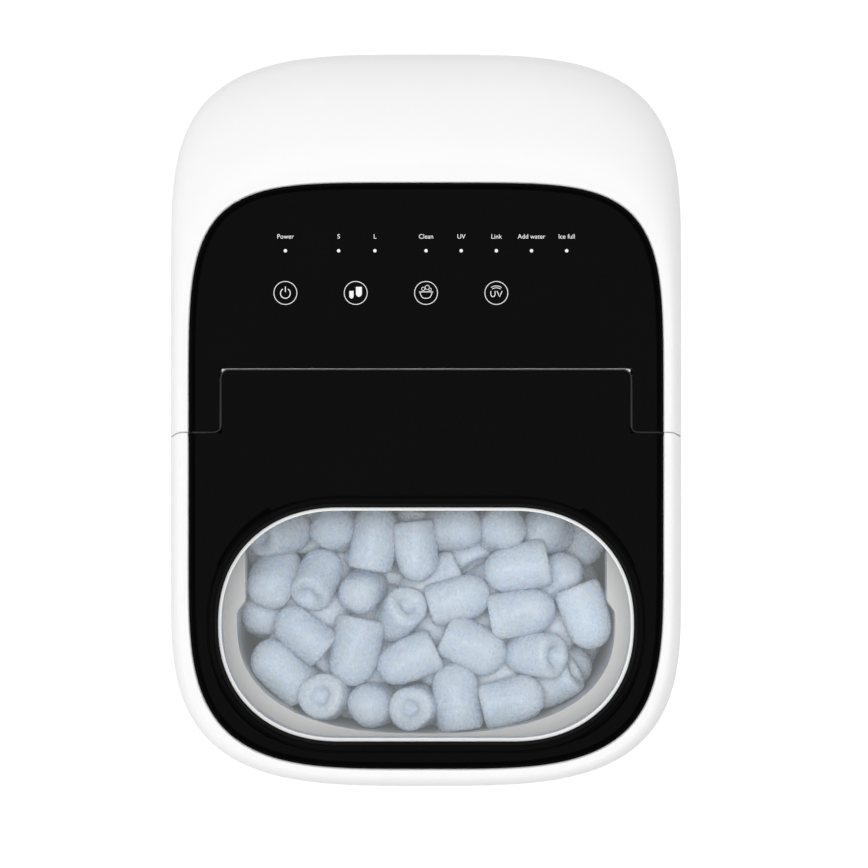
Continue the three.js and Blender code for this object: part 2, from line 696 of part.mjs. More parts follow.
// The block of the mains inlet up to a rear face, grown all round to cut the hole that it sits in.
function inletBlock(grown, face) {
  return box(
    INLET_X - INLET_WIDTH / 2 - grown, INLET_X + INLET_WIDTH / 2 + grown,
    REAR - INLET_SUNK - INLET_DEPTH, face,
    INLET_Z - INLET_HEIGHT / 2 - grown, INLET_Z + INLET_HEIGHT / 2 + grown,
  );
}

function powerInlet() {
  const floor = REAR - INLET_SUNK - SOCKET_DEPTH;
  const socket = box(
    INLET_X - SOCKET_WIDTH / 2, INLET_X + SOCKET_WIDTH / 2, floor, REAR,
    INLET_Z - SOCKET_HEIGHT / 2, INLET_Z + SOCKET_HEIGHT / 2,
  );
  const prongs = [-PRONG_PITCH, 0, PRONG_PITCH].map((x) => box(
    INLET_X + x - PRONG_WIDTH / 2, INLET_X + x + PRONG_WIDTH / 2, floor - 1, floor + PRONG_LENGTH,
    INLET_Z - PRONG_HEIGHT / 2, INLET_Z + PRONG_HEIGHT / 2,
  ));
  return inletBlock(0, REAR - INLET_SUNK).subtract(socket).add(join(...prongs));
}

// ---- Base ------------------------------------------------------------------------------

function basePan() {
  const plate = prism(ring(inset(BODY, FOOT_ROLL)), FOOT_HEIGHT, FOOT_HEIGHT + PAN_THICK);
  return plate.subtract(join(...screwHoles()));
}

function foot(x, y) {
  const top = FOOT_HEIGHT - GAP;
  const profile = [
    [0, 0], [FOOT_RADIUS - FOOT_EASE, 0], [FOOT_RADIUS, FOOT_EASE], [FOOT_RADIUS, top], [0, top],
  ];
  return turned(profile).translate(x, y, 0);
}

function baseScrew(x, y) {
  const seat = FOOT_HEIGHT - GAP;
  const base = seat - SCREW_HEAD_DEEP;
  const tip = FOOT_HEIGHT + SCREW_LENGTH;
  const profile = [
    [0, base], [SCREW_HEAD, base], [SCREW_HEAD, seat], [SCREW_RADIUS, seat], [SCREW_RADIUS, tip], [0, tip],
  ];
  return turned(profile, 12).translate(x, y, 0);
}

const TUB_OUTLINE = inset(BODY, TUB_INSET);

function before(back, low = 0, high = HEIGHT) {
  return beam(WIDTH, FRONT - 1, back, low, high);
}

function foamBase() {
  return prism(ring(inset(BODY, WALL + FOAM_WALL)), FOAM_LOW, TUB_FLOOR - GAP).intersect(before(TUB_BACK));
}

function foamJacket() {
  const outside = prism(ring(inset(BODY, WALL + JACKET_WALL)), TUB_FLOOR, TUB_TOP - 2 * WALL);
  const inside = prism(ring(inset(TUB_OUTLINE, -GAP)), 0, HEIGHT);
  return outside.subtract(inside).intersect(before(VENT_FRONT - WALL))
    .subtract(drainRod(DRAIN_RADIUS + GAP, 0, WIDTH));
}

// ---- Tub, basket and drain -------------------------------------------------------------

function tub() {
  const walls = prism(ring(TUB_OUTLINE), TUB_FLOOR, TUB_TOP);
  const flange = prism(ring(inset(BODY, TUB_FLANGE)), TUB_TOP - WALL, TUB_TOP);
  const hollow = prism(ring(inset(TUB_OUTLINE, WALL)), TUB_FLOOR + WALL, HEIGHT)
    .intersect(before(TUB_BACK - WALL));
  const notch = beam(
    TRAY_HALF + PIPE_NOTCH_SIDE, TUB_BACK - 2 * WALL, TUB_BACK + WALL, TUB_TOP - PIPE_NOTCH, HEIGHT,
  );
  return join(walls, flange).intersect(before(TUB_BACK))
    .subtract(join(hollow, notch, drainRod(DRAIN_RADIUS + GAP, 0, WIDTH)));
}

const BASKET = {
  half: BASKET_HALF, front: FRONT + BASKET_FRONT, rear: BASKET_BACK, flat: 0,
  frontEnd: BASKET_FRONT_END, rearEnd: BASKET_REAR_END,
  frontPower: BASKET_FRONT_POWER, rearPower: BASKET_REAR_POWER,
  centre: (FRONT + BASKET_FRONT + BASKET_BACK) / 2,
};
const BASKET_SLOPE = BASKET_TAPER / BASKET_DEPTH;

function basketSkin(distance, low, high) {
  const at = (z) => level(inset(BASKET, distance + (BASKET_RIM - z) * BASKET_SLOPE), z);
  return skin([at(low), at(high)]);
}

function iceBasket() {
  const flange = prism(ring(inset(BASKET, -BASKET_FLANGE)), BASKET_RIM - WALL, BASKET_RIM);
  const hollow = basketSkin(BASKET_WALL, BASKET_FLOOR + WALL, BASKET_RIM + 1);
  const entry = beam(ENTRY_HALF, BASKET_BACK - 20, BASKET_BACK + 20, ENTRY_SILL, HEIGHT);
  const grips = mirrored((side) => boxAcross(
    side, BASKET_HALF / 2, WIDTH, GRIP_FRONT, GRIP_BACK, BASKET_RIM - GRIP_DEPTH, BASKET_RIM - 2 * WALL,
  ));
  return basketSkin(0, BASKET_FLOOR, BASKET_RIM).add(flange)
    .subtract(join(hollow, entry, ...grips, ...dripSlots()));
}

// Slots in the floor of the basket: four across by three back, about the middle of the basket.
function dripSlots() {
  const [half, open] = [DRIP_WIDTH / 2, DRIP_OPEN / 2];
  const places = [-1.5, -0.5, 0.5, 1.5].flatMap((i) => [-1, 0, 1].map((j) => [i, j]));
  return places.map(([i, j]) => {
    const [x, y] = [i * DRIP_PITCH, BASKET.centre + j * DRIP_PITCH];
    return box(x - half, x + half, y - open, y + open, 0, BASKET_FLOOR + 2 * WALL);
  });
}

function iceHeap() {
  const bed = BASKET_FLOOR + WALL + GAP;
  const margin = BASKET_WALL + HEAP_MARGIN;
  const at = (z, extra) => level(inset(BASKET, margin + extra + (BASKET_RIM - z) * BASKET_SLOPE), z);
  return skin([
    at(bed, 0), at(ENTRY_SILL - HEAP_RISE / 10, 0), at(ENTRY_SILL + HEAP_RISE / 2, HEAP_SHOULDER),
    at(ENTRY_SILL + HEAP_RISE, 2 * HEAP_SHOULDER),
  ]);
}

const DRAIN_SEAT = HALF - WALL - DRAIN_HEAD;
const DRAIN_INNER = HALF - TUB_INSET - WALL;

function drainFitting() {
  const tube = drainRod(DRAIN_RADIUS, DRAIN_INNER - 2, HALF - WALL / 2);
  const bore = drainRod(DRAIN_RADIUS - DRAIN_WALL, 0, WIDTH);
  const seat = drainRod(DRAIN_RADIUS - DRAIN_RIM, DRAIN_SEAT, WIDTH);
  return tube.subtract(join(bore, seat));
}

function drainPlug() {
  const stem = drainRod(DRAIN_RADIUS - DRAIN_WALL - GAP, DRAIN_INNER, DRAIN_SEAT + GAP + 1);
  const cap = drainRod(DRAIN_RADIUS - DRAIN_RIM - GAP, DRAIN_SEAT + GAP, HALF - WALL / 2);
  return join(stem, cap);
}

// ---- Ice making ------------------------------------------------------------------------

function axleRod(radius, near, far) {
  return rod('x', [0, ...AXLE], radius, near, far);
}

function waterTray() {
  const outer = TRAY_RADIUS + TRAY_WALL;
  const chord = TRAY_AXIS_Z - TRAY_RADIUS * Math.cos(THREE.MathUtils.degToRad(TRAY_SPAN));
  const bowl = axleRod(outer, -TRAY_HALF, TRAY_HALF)
    .subtract(axleRod(TRAY_RADIUS, TRAY_WALL - TRAY_HALF, TRAY_HALF - TRAY_WALL))
    .intersect(beam(WIDTH, FRONT, REAR, 0, chord));
  const arms = mirrored((side) => join(
    boxAcross(
      side, TRAY_HALF - TRAY_WALL, TRAY_HALF, TRAY_AXIS_Y - ARM_HALF, TRAY_AXIS_Y + ARM_HALF,
      chord - 2 * TRAY_WALL, TRAY_AXIS_Z,
    ),
    barAcross(side, AXLE, ARM_HALF, TRAY_HALF - TRAY_WALL, TRAY_HALF),
    barAcross(side, AXLE, SPINDLE_RADIUS, TRAY_HALF - TRAY_WALL, TRAY_HALF + SPINDLE_LENGTH),
  ));
  return join(bowl, ...arms);
}

function iceShovel() {
  const half = TRAY_HALF - 2 * TRAY_WALL;
  return slab(arcBand(AXLE, TRAY_RADIUS - 2 * TRAY_WALL, SHOVEL_REACH, 194.5, 198, 1), -half, half);
}

function trayBearing(side) {
  const near = TRAY_HALF + BEARING_PLAY;
  const block = boxAcross(
    side, near, near + BEARING_THICK, TRAY_AXIS_Y - BEARING_SIZE / 2, TUB_INNER_BACK,
    TRAY_AXIS_Z - BEARING_SIZE / 2, TRAY_AXIS_Z + BEARING_SIZE / 2,
  );
  return block.subtract(axleRod(SPINDLE_RADIUS + RUNNING, -WIDTH, WIDTH));
}

function trayMotor() {
  const near = TRAY_HALF + SPINDLE_LENGTH + 1;
  const [front, low, high] = [TRAY_AXIS_Y - MOTOR_HALF, TRAY_AXIS_Z - MOTOR_HALF, TRAY_AXIS_Z + MOTOR_RISE];
  return join(
    box(near, near + MOTOR_WIDTH, front, TRAY_AXIS_Y + MOTOR_HALF, low, high),
    box(near + MOTOR_TAB, near + 2 * MOTOR_TAB, front, TUB_INNER_BACK, low + WALL, high - WALL),
  );
}

function iceChute() {
  return slab(arcBand(AXLE, CHUTE_RADIUS, CHUTE_RADIUS + TRAY_WALL, 215, 325), -TRAY_HALF, TRAY_HALF);
}

function evaporator() {
  const top = TRAY_AXIS_Z + PIPE_RISE;
  const half = (FINGERS * FINGER_PITCH) / 2 - 1;
  const pipeX = half - PIPE_RADIUS - 1;
  const fingers = Array.from({ length: FINGERS }, (_, i) => rod(
    'z', [(i - (FINGERS - 1) / 2) * FINGER_PITCH, ...AXLE], FINGER_RADIUS, -FINGER_DROP, 0, 10,
  ));
  const pipes = mirrored((side) => join(
    rod('z', [side * pipeX, TRAY_AXIS_Y, 0], PIPE_RADIUS + 0.2, TRAY_AXIS_Z, top + PIPE_RADIUS, 12),
    rod('y', [side * pipeX, 0, top], PIPE_RADIUS, TRAY_AXIS_Y, TUB_BACK + PIPE_TAIL, 12),
  ));
  return join(axleRod(HEADER_RADIUS, -half, half), ...fingers, ...pipes);
}

function waterPump() {
  return rod('z', [PUMP_X, PUMP_Y, 0], PUMP_RADIUS, TUB_FLOOR + WALL + GAP, PUMP_TOP);
}

function waterTube() {
  const path = new THREE.CatmullRomCurve3([
    new THREE.Vector3(PUMP_X, PUMP_Y, PUMP_TOP + GAP),
    new THREE.Vector3(PUMP_X, PUMP_Y, SPOUT_Z - SPOUT_BEND),
    new THREE.Vector3(PUMP_X + SPOUT_BEND, PUMP_Y, SPOUT_Z),
    new THREE.Vector3(2 * TRAY_WALL - TRAY_HALF, PUMP_Y, SPOUT_Z),
  ]);
  const section = new THREE.Shape(Array.from({ length: 8 }, (_, i) => {
    const angle = (i / 8) * 2 * Math.PI;
    return new THREE.Vector2(TUBE_RADIUS * Math.cos(angle), TUBE_RADIUS * Math.sin(angle));
  }));
  return solid(new THREE.ExtrudeGeometry(section, { steps: 18, extrudePath: path, bevelEnabled: false }));
}

function iceSensor(side) {
  const wall = DRAIN_INNER - GAP;
  const front = FRONT + SENSOR_START;
  const top = TUB_TOP - SENSOR_DROP;
  return boxAcross(
    side, wall - SENSOR_THICK, wall, front, front + SENSOR_LENGTH, top - SENSOR_HEIGHT, top,
  );
}

function uvLamp() {
  const low = TUB_FLOOR + LAMP_HEIGHT;
  return beam(LAMP_HALF, TUB_BACK - WALL - LAMP_THICK, TUB_INNER_BACK, low, low + LAMP_HEIGHT);
}

// ---- Cooling and boards ----------------------------------------------------------------

// A welded can: a domed lid over a straight pot, with a proud seam where the two meet.
function compressor() {
  const low = COMPRESSOR_LOW;
  const high = low + COMPRESSOR_HEIGHT;
  const seam = low + COMPRESSOR_HEIGHT / 2;
  const r = COMPRESSOR_RADIUS;
  const wall = r - COMPRESSOR_SEAM;
  return turned([
    [0, low], [wall - 6.5, low], [wall, low + 10], [wall, seam - 1], [r, seam], [r, seam + 4],
    [wall, seam + 5], [wall, high - 24], [wall - 6.5, high - 9], [wall - 22.5, high], [0, high],
  ], 24).translate(COMPRESSOR_X, COMPRESSOR_Y, 0);
}

// A rubber mount with a waist, under the edge of the can.
function compressorMount(index) {
  const angle = (2 * Math.PI * index) / COMPRESSOR_FEET;
  const out = COMPRESSOR_RADIUS - MOUNT_INSET;
  const low = PAN_TOP + GAP;
  const high = low + MOUNT_HEIGHT;
  return turned([
    [0, low], [MOUNT_RADIUS, low], [MOUNT_WAIST, (low + high) / 2], [MOUNT_RADIUS, high], [0, high],
  ], 16).translate(COMPRESSOR_X + out * Math.cos(angle), COMPRESSOR_Y + out * Math.sin(angle), 0);
}

function condenser() {
  const pitch = (2 * COIL_HALF) / CONDENSER_FINS;
  const fins = Array.from({ length: CONDENSER_FINS }, (_, i) => {
    const x = FAN_X - COIL_HALF + (i + 0.5) * pitch;
    return box(x - FIN_HALF, x + FIN_HALF, CONDENSER_Y, CONDENSER_Y + CONDENSER_DEPTH, COIL_LOW, COIL_HIGH);
  });
  const pipes = [-1, 0, 1].map((row) => rod(
    'x', [FAN_X, CONDENSER_Y + CONDENSER_DEPTH / 2, FAN_Z + row * COIL_PITCH], PIPE_RADIUS,
    -COIL_HALF, COIL_HALF, 8,
  ));
  return join(...fins, ...pipes);
}

function fanShroud() {
  const front = FAN_Y + FAN_DEPTH / 2 + SHROUD_SPACE;
  const plate = box(FAN_X - COIL_HALF, FAN_X + COIL_HALF, front, front + SHROUD_THICK, COIL_LOW, COIL_HIGH);
  return plate.subtract(rod('y', [FAN_X, 0, FAN_Z], FAN_RADIUS + SHROUD_SPACE, 0, REAR, 2 * ROUND));
}

function fanRotor() {
  const hub = rod('y', [FAN_X, FAN_Y, FAN_Z], FAN_HUB, -FAN_DEPTH / 2, FAN_DEPTH / 2);
  const root = FAN_HUB - BLADE_ROOT;
  const blades = Array.from({ length: FAN_BLADES }, (_, i) => {
    const geometry = new THREE.BoxGeometry(FAN_RADIUS - root, BLADE_THICK, BLADE_CHORD);
    geometry.rotateX(THREE.MathUtils.degToRad(BLADE_PITCH));
    geometry.translate((FAN_RADIUS + root) / 2, 0, 0);
    geometry.rotateY((2 * Math.PI * i) / FAN_BLADES);
    geometry.translate(FAN_X, FAN_Y, FAN_Z);
    return solid(geometry);
  });
  const bore = rod('y', [FAN_X, FAN_Y, FAN_Z], FAN_SHAFT + RUNNING, -FAN_DEPTH, FAN_DEPTH / 2 - 2, 16);
  return join(hub, ...blades).subtract(bore);
}

function fanMotor() {
  const back = FAN_Y - FAN_DEPTH / 2;
  return join(
    rod('y', [FAN_X, 0, FAN_Z], FAN_MOTOR_RADIUS, back - 2 - FAN_MOTOR_DEPTH, back - 2),
    rod('y', [FAN_X, 0, FAN_Z], FAN_SHAFT, back - 3, back + FAN_DEPTH / 2, 16),
  );
}

// A foot on the base pan and a post up to the underside of the fan's motor.
function fanBracket() {
  const middle = FAN_Y - FAN_DEPTH / 2 - 2 - FAN_MOTOR_DEPTH / 2;
  const low = PAN_TOP + GAP;
  return join(
    box(FAN_X - 14, FAN_X + 14, middle - 8, middle + 8, low, PAN_TOP + PAN_THICK),
    box(FAN_X - 6, FAN_X + 6, middle - 5, middle + 5, low, FAN_Z - FAN_MOTOR_RADIUS - GAP),
  );
}

function controlBoard() {
  const top = DECK_BOTTOM - BOARD_DROP;
  return beam(BOARD_HALF, AXIS_Y + BOARD_FRONT, PANEL.rear - BOARD_BACK, top - BOARD_THICK, top);
}

// An upright board with a transformer and a capacitor on its rear face.
function powerBoard() {
  const face = TUB_BACK + POWER_SPACE;
  const low = COMPRESSOR_LOW + COMPRESSOR_HEIGHT + POWER_LIFT;
  const high = low + POWER_HEIGHT;
  const back = face + BOARD_THICK;
  return join(
    box(POWER_LEFT, POWER_RIGHT, face, back, low, high),
    box(POWER_LEFT + 8, POWER_LEFT + 40, back - 0.6, back + 24, low + 10, low + 38),
    box(POWER_RIGHT - 24, POWER_RIGHT - 10, back - 0.6, back + 12, high - 36, high - 10),
  );
}

// ---- Assembly --------------------------------------------------------------------------

const FINISHES = {
  white: { color: 0xf4f4f2, roughness: 0.28, metalness: 0 },
  black: { color: 0x0c0c0d, roughness: 0.12, metalness: 0 },
  clear: { color: 0xdfe6ea, roughness: 0.05, metalness: 0, transparent: true, opacity: 0.3 },
  grey: { color: 0x55585c, roughness: 0.4, metalness: 0 },
  tub: { color: 0xcfd3d6, roughness: 0.4, metalness: 0 },
  basket: { color: 0xe6e3dc, roughness: 0.35, metalness: 0 },
  ice: { color: 0xcfdde8, roughness: 0.3, metalness: 0 },
  rubber: { color: 0x2a2a2c, roughness: 0.8, metalness: 0 },
  steel: { color: 0xb9bcc0, roughness: 0.35, metalness: 1 },
  copper: { color: 0xb87650, roughness: 0.35, metalness: 1 },
  foam: { color: 0xeae6d8, roughness: 0.9, metalness: 0 },
  board: { color: 0x1f5a3a, roughness: 0.5, metalness: 0 },
};

const machine = new THREE.Group();

function place(name, finish, shape) {
  const { vertProperties, triVerts, numProp } = shape.getMesh();
  const positions = new Float32Array((vertProperties.length / numProp) * 3);
  for (let i = 0; i < positions.length; i += 1) {
    positions[i] = vertProperties[Math.floor(i / 3) * numProp + (i % 3)];
  }
  const geometry = new THREE.BufferGeometry();
  geometry.setAttribute('position', new THREE.BufferAttribute(positions, 3));
  geometry.setIndex(new THREE.BufferAttribute(new Uint32Array(triVerts), 1));
  geometry.computeVertexNormals();
  const mesh = new THREE.Mesh(geometry, new THREE.MeshStandardMaterial(FINISHES[finish]));
  mesh.name = name;
  machine.add(mesh);
}

function placePair(name, finish, make) {
  place(`${name}_left`, finish, make(-1));
  place(`${name}_right`, finish, make(1));
}

// Four pieces at the corners of a rectangle, numbered from the front left.
function placeFour(name, finish, x, y, make) {
  const corners = [[-x, -y], [x, -y], [-x, y], [x, y]];
  corners.forEach((corner, i) => place(`${name}_${i + 1}`, finish, make(...corner)));
}

const whole = wholeHousing();

place('lid_shell', 'white', lidShell(whole));
place('lid_panel', 'black', lidPanel());
place('window_bezel', 'grey', windowBezel());
place('lid_window', 'clear', lidWindow());
place('lid_liner', 'white', lidLiner());
place('lid_seal', 'rubber', lidSeal());

place('outer_shell', 'white', outerShell(whole));
place('rear_top_cover', 'white', rearTopCover(whole));
place('control_panel', 'black', controlPanel());
place('hinge_trough', 'black', hingeTrough());
placePair('hinge_bracket', 'grey', hingeBracket);
placePair('hinge_pin', 'steel', hingePin);
place('rear_grille', 'white', rearGrille());
place('rear_plate', 'white', rearPlate());
place('power_inlet', 'rubber', powerInlet());

place('base_pan', 'grey', basePan());
placeFour('foot', 'rubber', FOOT_X, FOOT_Y, foot);
placeFour('base_screw', 'steel', LUG_X, LUG_Y, baseScrew);
place('foam_base', 'foam', foamBase());
place('foam_jacket', 'foam', foamJacket());

place('water_tub', 'tub', tub());
place('drain_fitting', 'grey', drainFitting());
place('drain_plug', 'rubber', drainPlug());
place('ice_basket', 'basket', iceBasket());
place('ice_heap', 'ice', iceHeap());

place('water_tray', 'tub', waterTray());
place('ice_shovel', 'grey', iceShovel());
placePair('tray_bearing', 'grey', trayBearing);
place('tray_motor', 'rubber', trayMotor());
place('ice_chute', 'tub', iceChute());
place('evaporator', 'copper', evaporator());
place('water_pump', 'rubber', waterPump());
place('water_tube', 'tub', waterTube());
placePair('ice_sensor', 'rubber', iceSensor);
place('uv_lamp', 'clear', uvLamp());

place('compressor', 'rubber', compressor());
for (let i = 0; i < COMPRESSOR_FEET; i += 1) {
  place(`compressor_mount_${i + 1}`, 'rubber', compressorMount(i));
}
place('condenser', 'copper', condenser());
place('fan_shroud', 'rubber', fanShroud());
place('fan_rotor', 'grey', fanRotor());
place('fan_motor', 'steel', fanMotor());
place('fan_bracket', 'steel', fanBracket());
place('control_board', 'board', controlBoard());
place('power_board', 'board', powerBoard());

export default machine;
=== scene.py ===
# %% [markdown]
# # A countertop ice maker
# Seen from above, the machine is a white rolled shell with a black gloss top let into it. A clear
# window in the front half shows a basket of bullet ice. The moving frame comes ready made, so this
# lesson dresses it: every shell is worked out as a smooth surface from the frame's own sizes.

# %% Load the frame
import json
import math

import bmesh
import bpy
import numpy as np
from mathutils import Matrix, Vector


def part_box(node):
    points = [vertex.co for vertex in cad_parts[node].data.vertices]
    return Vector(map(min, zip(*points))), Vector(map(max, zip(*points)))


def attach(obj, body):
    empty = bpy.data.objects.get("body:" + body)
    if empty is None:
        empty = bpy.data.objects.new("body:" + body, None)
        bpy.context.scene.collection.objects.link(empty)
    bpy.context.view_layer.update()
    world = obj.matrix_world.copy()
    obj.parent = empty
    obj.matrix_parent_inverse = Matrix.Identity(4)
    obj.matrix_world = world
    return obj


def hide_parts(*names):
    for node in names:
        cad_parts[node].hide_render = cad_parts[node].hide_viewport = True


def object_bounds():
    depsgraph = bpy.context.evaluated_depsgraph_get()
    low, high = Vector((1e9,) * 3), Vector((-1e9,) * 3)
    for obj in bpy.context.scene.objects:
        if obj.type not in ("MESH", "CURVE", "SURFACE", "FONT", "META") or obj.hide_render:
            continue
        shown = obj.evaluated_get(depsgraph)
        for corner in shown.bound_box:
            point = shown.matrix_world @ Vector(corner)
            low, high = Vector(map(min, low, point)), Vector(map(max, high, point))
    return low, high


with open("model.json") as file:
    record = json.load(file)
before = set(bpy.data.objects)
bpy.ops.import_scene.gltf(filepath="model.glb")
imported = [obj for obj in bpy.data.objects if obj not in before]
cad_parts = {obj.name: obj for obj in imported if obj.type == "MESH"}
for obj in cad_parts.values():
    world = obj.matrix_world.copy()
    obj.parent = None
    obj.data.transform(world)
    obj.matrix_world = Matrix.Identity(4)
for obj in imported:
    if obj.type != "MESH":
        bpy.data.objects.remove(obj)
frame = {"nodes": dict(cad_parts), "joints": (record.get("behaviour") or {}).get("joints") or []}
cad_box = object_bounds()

print("box:", cad_box)

# %% [markdown]
# ## Sizes
# Lengths are in metres. The overall size comes from the frame, and the few sizes below are the same
# driving sizes that the frame was drawn with: wall and gap, the rounded ends, and the places of the
# lid's seams.

# %% Driving sizes
MM = 0.001
LOW, HIGH = (np.array(corner) for corner in cad_box)
HALF = (HIGH[0] - LOW[0]) / 2
FRONT, REAR, TOP = LOW[1], HIGH[1], HIGH[2]
WALL = 2.5 * MM
GAP = 0.3 * MM
SEAM = 0.6 * MM
RIM_FLAT = 3.0 * MM
SIDE_DROP = 9 * MM
REAR_DROP = 32 * MM



def corners(node):
    """The low and high corners of a drawn node's box, as arrays."""
    return [np.array(corner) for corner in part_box(node)]


panel_low, panel_high = corners("control_panel")
LID_PANEL_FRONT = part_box("lid_panel")[0][1]
PANEL_TOP = panel_high[2]
PANEL_BOTTOM = panel_low[2]
DECK_TOP = PANEL_BOTTOM - GAP
DECK_BOTTOM = DECK_TOP - WALL
PART_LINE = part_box("lid_shell")[0][2]
SHELL_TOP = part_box("outer_shell")[1][2]
SHELL_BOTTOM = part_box("outer_shell")[0][2]

joints = {joint["name"]: joint for joint in frame["joints"]}
AXIS_Y, AXIS_Z = joints["lid_hinge"]["pos_m"][1:]
TAB_REACH = 14.7 * MM
TAB_HALF = 96.3 * MM
TAB_CORNER = 3.5 * MM
HINGE_RADIUS = math.hypot(TAB_REACH, TOP - AXIS_Z)
SEAM_Y = AXIS_Y - TAB_REACH
print("hinge axis", round(AXIS_Y, 4), round(AXIS_Z, 4), "seam at", round(SEAM_Y, 4))

# %% [markdown]
# ## Outlines
# The shell, the black panel and the window are all superellipses: an ellipse whose power is above 2,
# so its corners are fuller. One rule describes them: inside, the share of the way to the edge across,
# to a power, plus the same along, stays below one. A straight run is a stretch where a share is zero.
# Points on the edge are found along rays by halving, for all rays at once.

# %% Outline rules
def outline(half, front, rear, front_end, rear_end, front_power, rear_power, flat=0.0):
    """An outline's half width, front and rear, the depth and power of its two ends, and its flat run."""
    return dict(half=half, front=front, rear=rear, front_end=front_end, rear_end=rear_end,
                front_power=front_power, rear_power=rear_power, flat=flat)


BODY = outline(HALF, FRONT, REAR, 96 * MM, 100 * MM, 3.4, 3.6)
PANEL = outline(panel_high[0], LID_PANEL_FRONT, panel_high[1], 102 * MM, 114 * MM, 3.8, 4.9)
glass_low, glass_high = corners("lid_window")
WINDOW_FRONT, WINDOW_REAR = glass_low[1] - GAP, glass_high[1] + GAP
WINDOW = outline(glass_high[0] + GAP, WINDOW_FRONT, WINDOW_REAR, (WINDOW_REAR - WINDOW_FRONT) / 2,
                 (WINDOW_REAR - WINDOW_FRONT) / 2, 2.2, 2.2, flat=40 * MM)
WINDOW_Y = (WINDOW_FRONT + WINDOW_REAR) / 2


def inset(shape, distance):
    """The same outline drawn in by a distance all round, or grown by a negative one."""
    drawn = dict(shape)
    for key, sign in (("half", -1), ("front", 1), ("rear", -1), ("front_end", -1), ("rear_end", -1)):
        drawn[key] = shape[key] + sign * distance
    return drawn


def fullness(shape, x, y):
    """How full the outline is at a point: below one inside, one on the edge."""
    front_start = shape["front"] + shape["front_end"]
    rear_start = shape["rear"] - shape["rear_end"]
    back = y > (front_start + rear_start) / 2
    power = np.where(back, shape["rear_power"], shape["front_power"])
    across = np.maximum(0, np.abs(x) - shape["flat"]) / (shape["half"] - shape["flat"])
    along = np.where(back, np.maximum(0, y - rear_start) / shape["rear_end"],
                     np.maximum(0, front_start - y) / shape["front_end"])
    return across ** power + along ** power


def edge(shape, angles, centre_y=0.0):
    """Where rays from (0, centre_y) cross the outline, as an array of (x, y), by 48 halvings."""
    cos, sin = np.cos(angles), np.sin(angles)
    low = np.zeros_like(angles)
    high = np.full_like(angles, 2 * (REAR - FRONT))
    for _ in range(48):
        middle = (low + high) / 2
        inside = fullness(shape, middle * cos, centre_y + middle * sin) < 1
        low = np.where(inside, middle, low)
        high = np.where(inside, high, middle)
    return np.stack([low * cos, centre_y + low * sin], axis=-1)


def depth_inside(shape, x, y):
    """About how far a point is inside the outline: one less the fullness, over its slope."""
    step = 1e-5
    here = fullness(shape, x, y)
    slope_x = (fullness(shape, x + step, y) - fullness(shape, x - step, y)) / (2 * step)
    slope_y = (fullness(shape, x, y + step) - fullness(shape, x, y - step)) / (2 * step)
    return (1 - here) / np.maximum(np.hypot(slope_x, slope_y), 1e-6)


def smoothstep(low, high, value):
    """A soft step from 0 to 1: three times the share squared, less twice its cube."""
    share = np.clip((value - low) / (high - low), 0, 1)
    return share * share * (3 - 2 * share)


print("panel half width", round(PANEL["half"], 4), "window half width", round(WINDOW["half"], 4))

# %% [markdown]
# ## From grids to pieces
# Almost every moulded piece here is a thin wall, so one builder serves them all. It takes two grids of
# points, the outer face and the inner face of a wall, and closes the rim between them. A mask says
# which cells of the grid hold material, so vents and windows are cells left out, and their edges get
# walls too. A Bevel modifier then breaks the sharp edges, as a real mould does.

# %% Wall builder
def wall_faces(solid, rows, columns, wrap):
    """Quads of a thin wall: outer faces, inner faces turned over, and a wall at each open edge."""
    here = np.arange(rows * columns).reshape(rows, columns)
    ahead = np.roll(here, -1, axis=0) if wrap else here[1:]
    start = here if wrap else here[:-1]
    a, b, c, d = start[:, :-1], ahead[:, :-1], ahead[:, 1:], start[:, 1:]
    inner = rows * columns
    quads = [np.stack([a, b, c, d], -1)[solid], np.stack([d, c, b, a], -1)[solid] + inner]
    padded = np.pad(solid, 1)
    if wrap:
        padded[0, 1:-1], padded[-1, 1:-1] = solid[-1], solid[0]
    for beside, tail, head in ((padded[1:-1, :-2], a, b), (padded[1:-1, 2:], c, d),
                               (padded[2:, 1:-1], b, c), (padded[:-2, 1:-1], d, a)):
        bare = solid & ~beside
        quads.append(np.stack([head, tail, tail + inner, head + inner], -1)[bare])
    return np.concatenate([quad.reshape(-1, 4) for quad in quads])


def signed_volume(points, faces):
    """Six times the volume that the quads enclose, positive when they face outwards."""
    a, b, c, d = (points[faces[:, i]] for i in range(4))
    return float(np.sum(a * np.cross(b, c)) + np.sum(a * np.cross(c, d)))


def new_mesh(name, points, faces, crease=35.0):
    """Puts points and quads into a mesh, drops unused points, faces it outwards and smooths it."""
    points = np.asarray(points, dtype=float).reshape(-1, 3)
    faces = np.asarray(faces).reshape(-1, 4)
    if signed_volume(points, faces) < 0:
        faces = faces[:, ::-1]
    used, compact = np.unique(faces, return_inverse=True)
    mesh = bpy.data.meshes.new(name)
    mesh.from_pydata(points[used].tolist(), [], compact.reshape(-1, 4).tolist())
    mesh.validate()
    mesh.polygons.foreach_set("use_smooth", np.ones(len(mesh.polygons), dtype=bool))
    mesh.set_sharp_from_angle(angle=math.radians(crease))
    return mesh


def piece(name, mesh, material, body="root", replaces=(), bevel=0.0):
    """Makes a mesh a piece: it takes its finish, rides a body, and hides the CAD nodes it stands for."""
    obj = bpy.data.objects.new(name, mesh)
    bpy.context.scene.collection.objects.link(obj)
    if material is not None:
        mesh.materials.append(material)
    if bevel:
        rounding = obj.modifiers.new("broken_edges", "BEVEL")
        rounding.width = bevel
        rounding.segments = 2
        rounding.limit_method = "ANGLE"
        rounding.angle_limit = math.radians(50)
    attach(obj, body)
    if replaces:
        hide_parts(*replaces)
    print(f"{name}: {len(mesh.vertices)} points, rides {body}")
    return obj


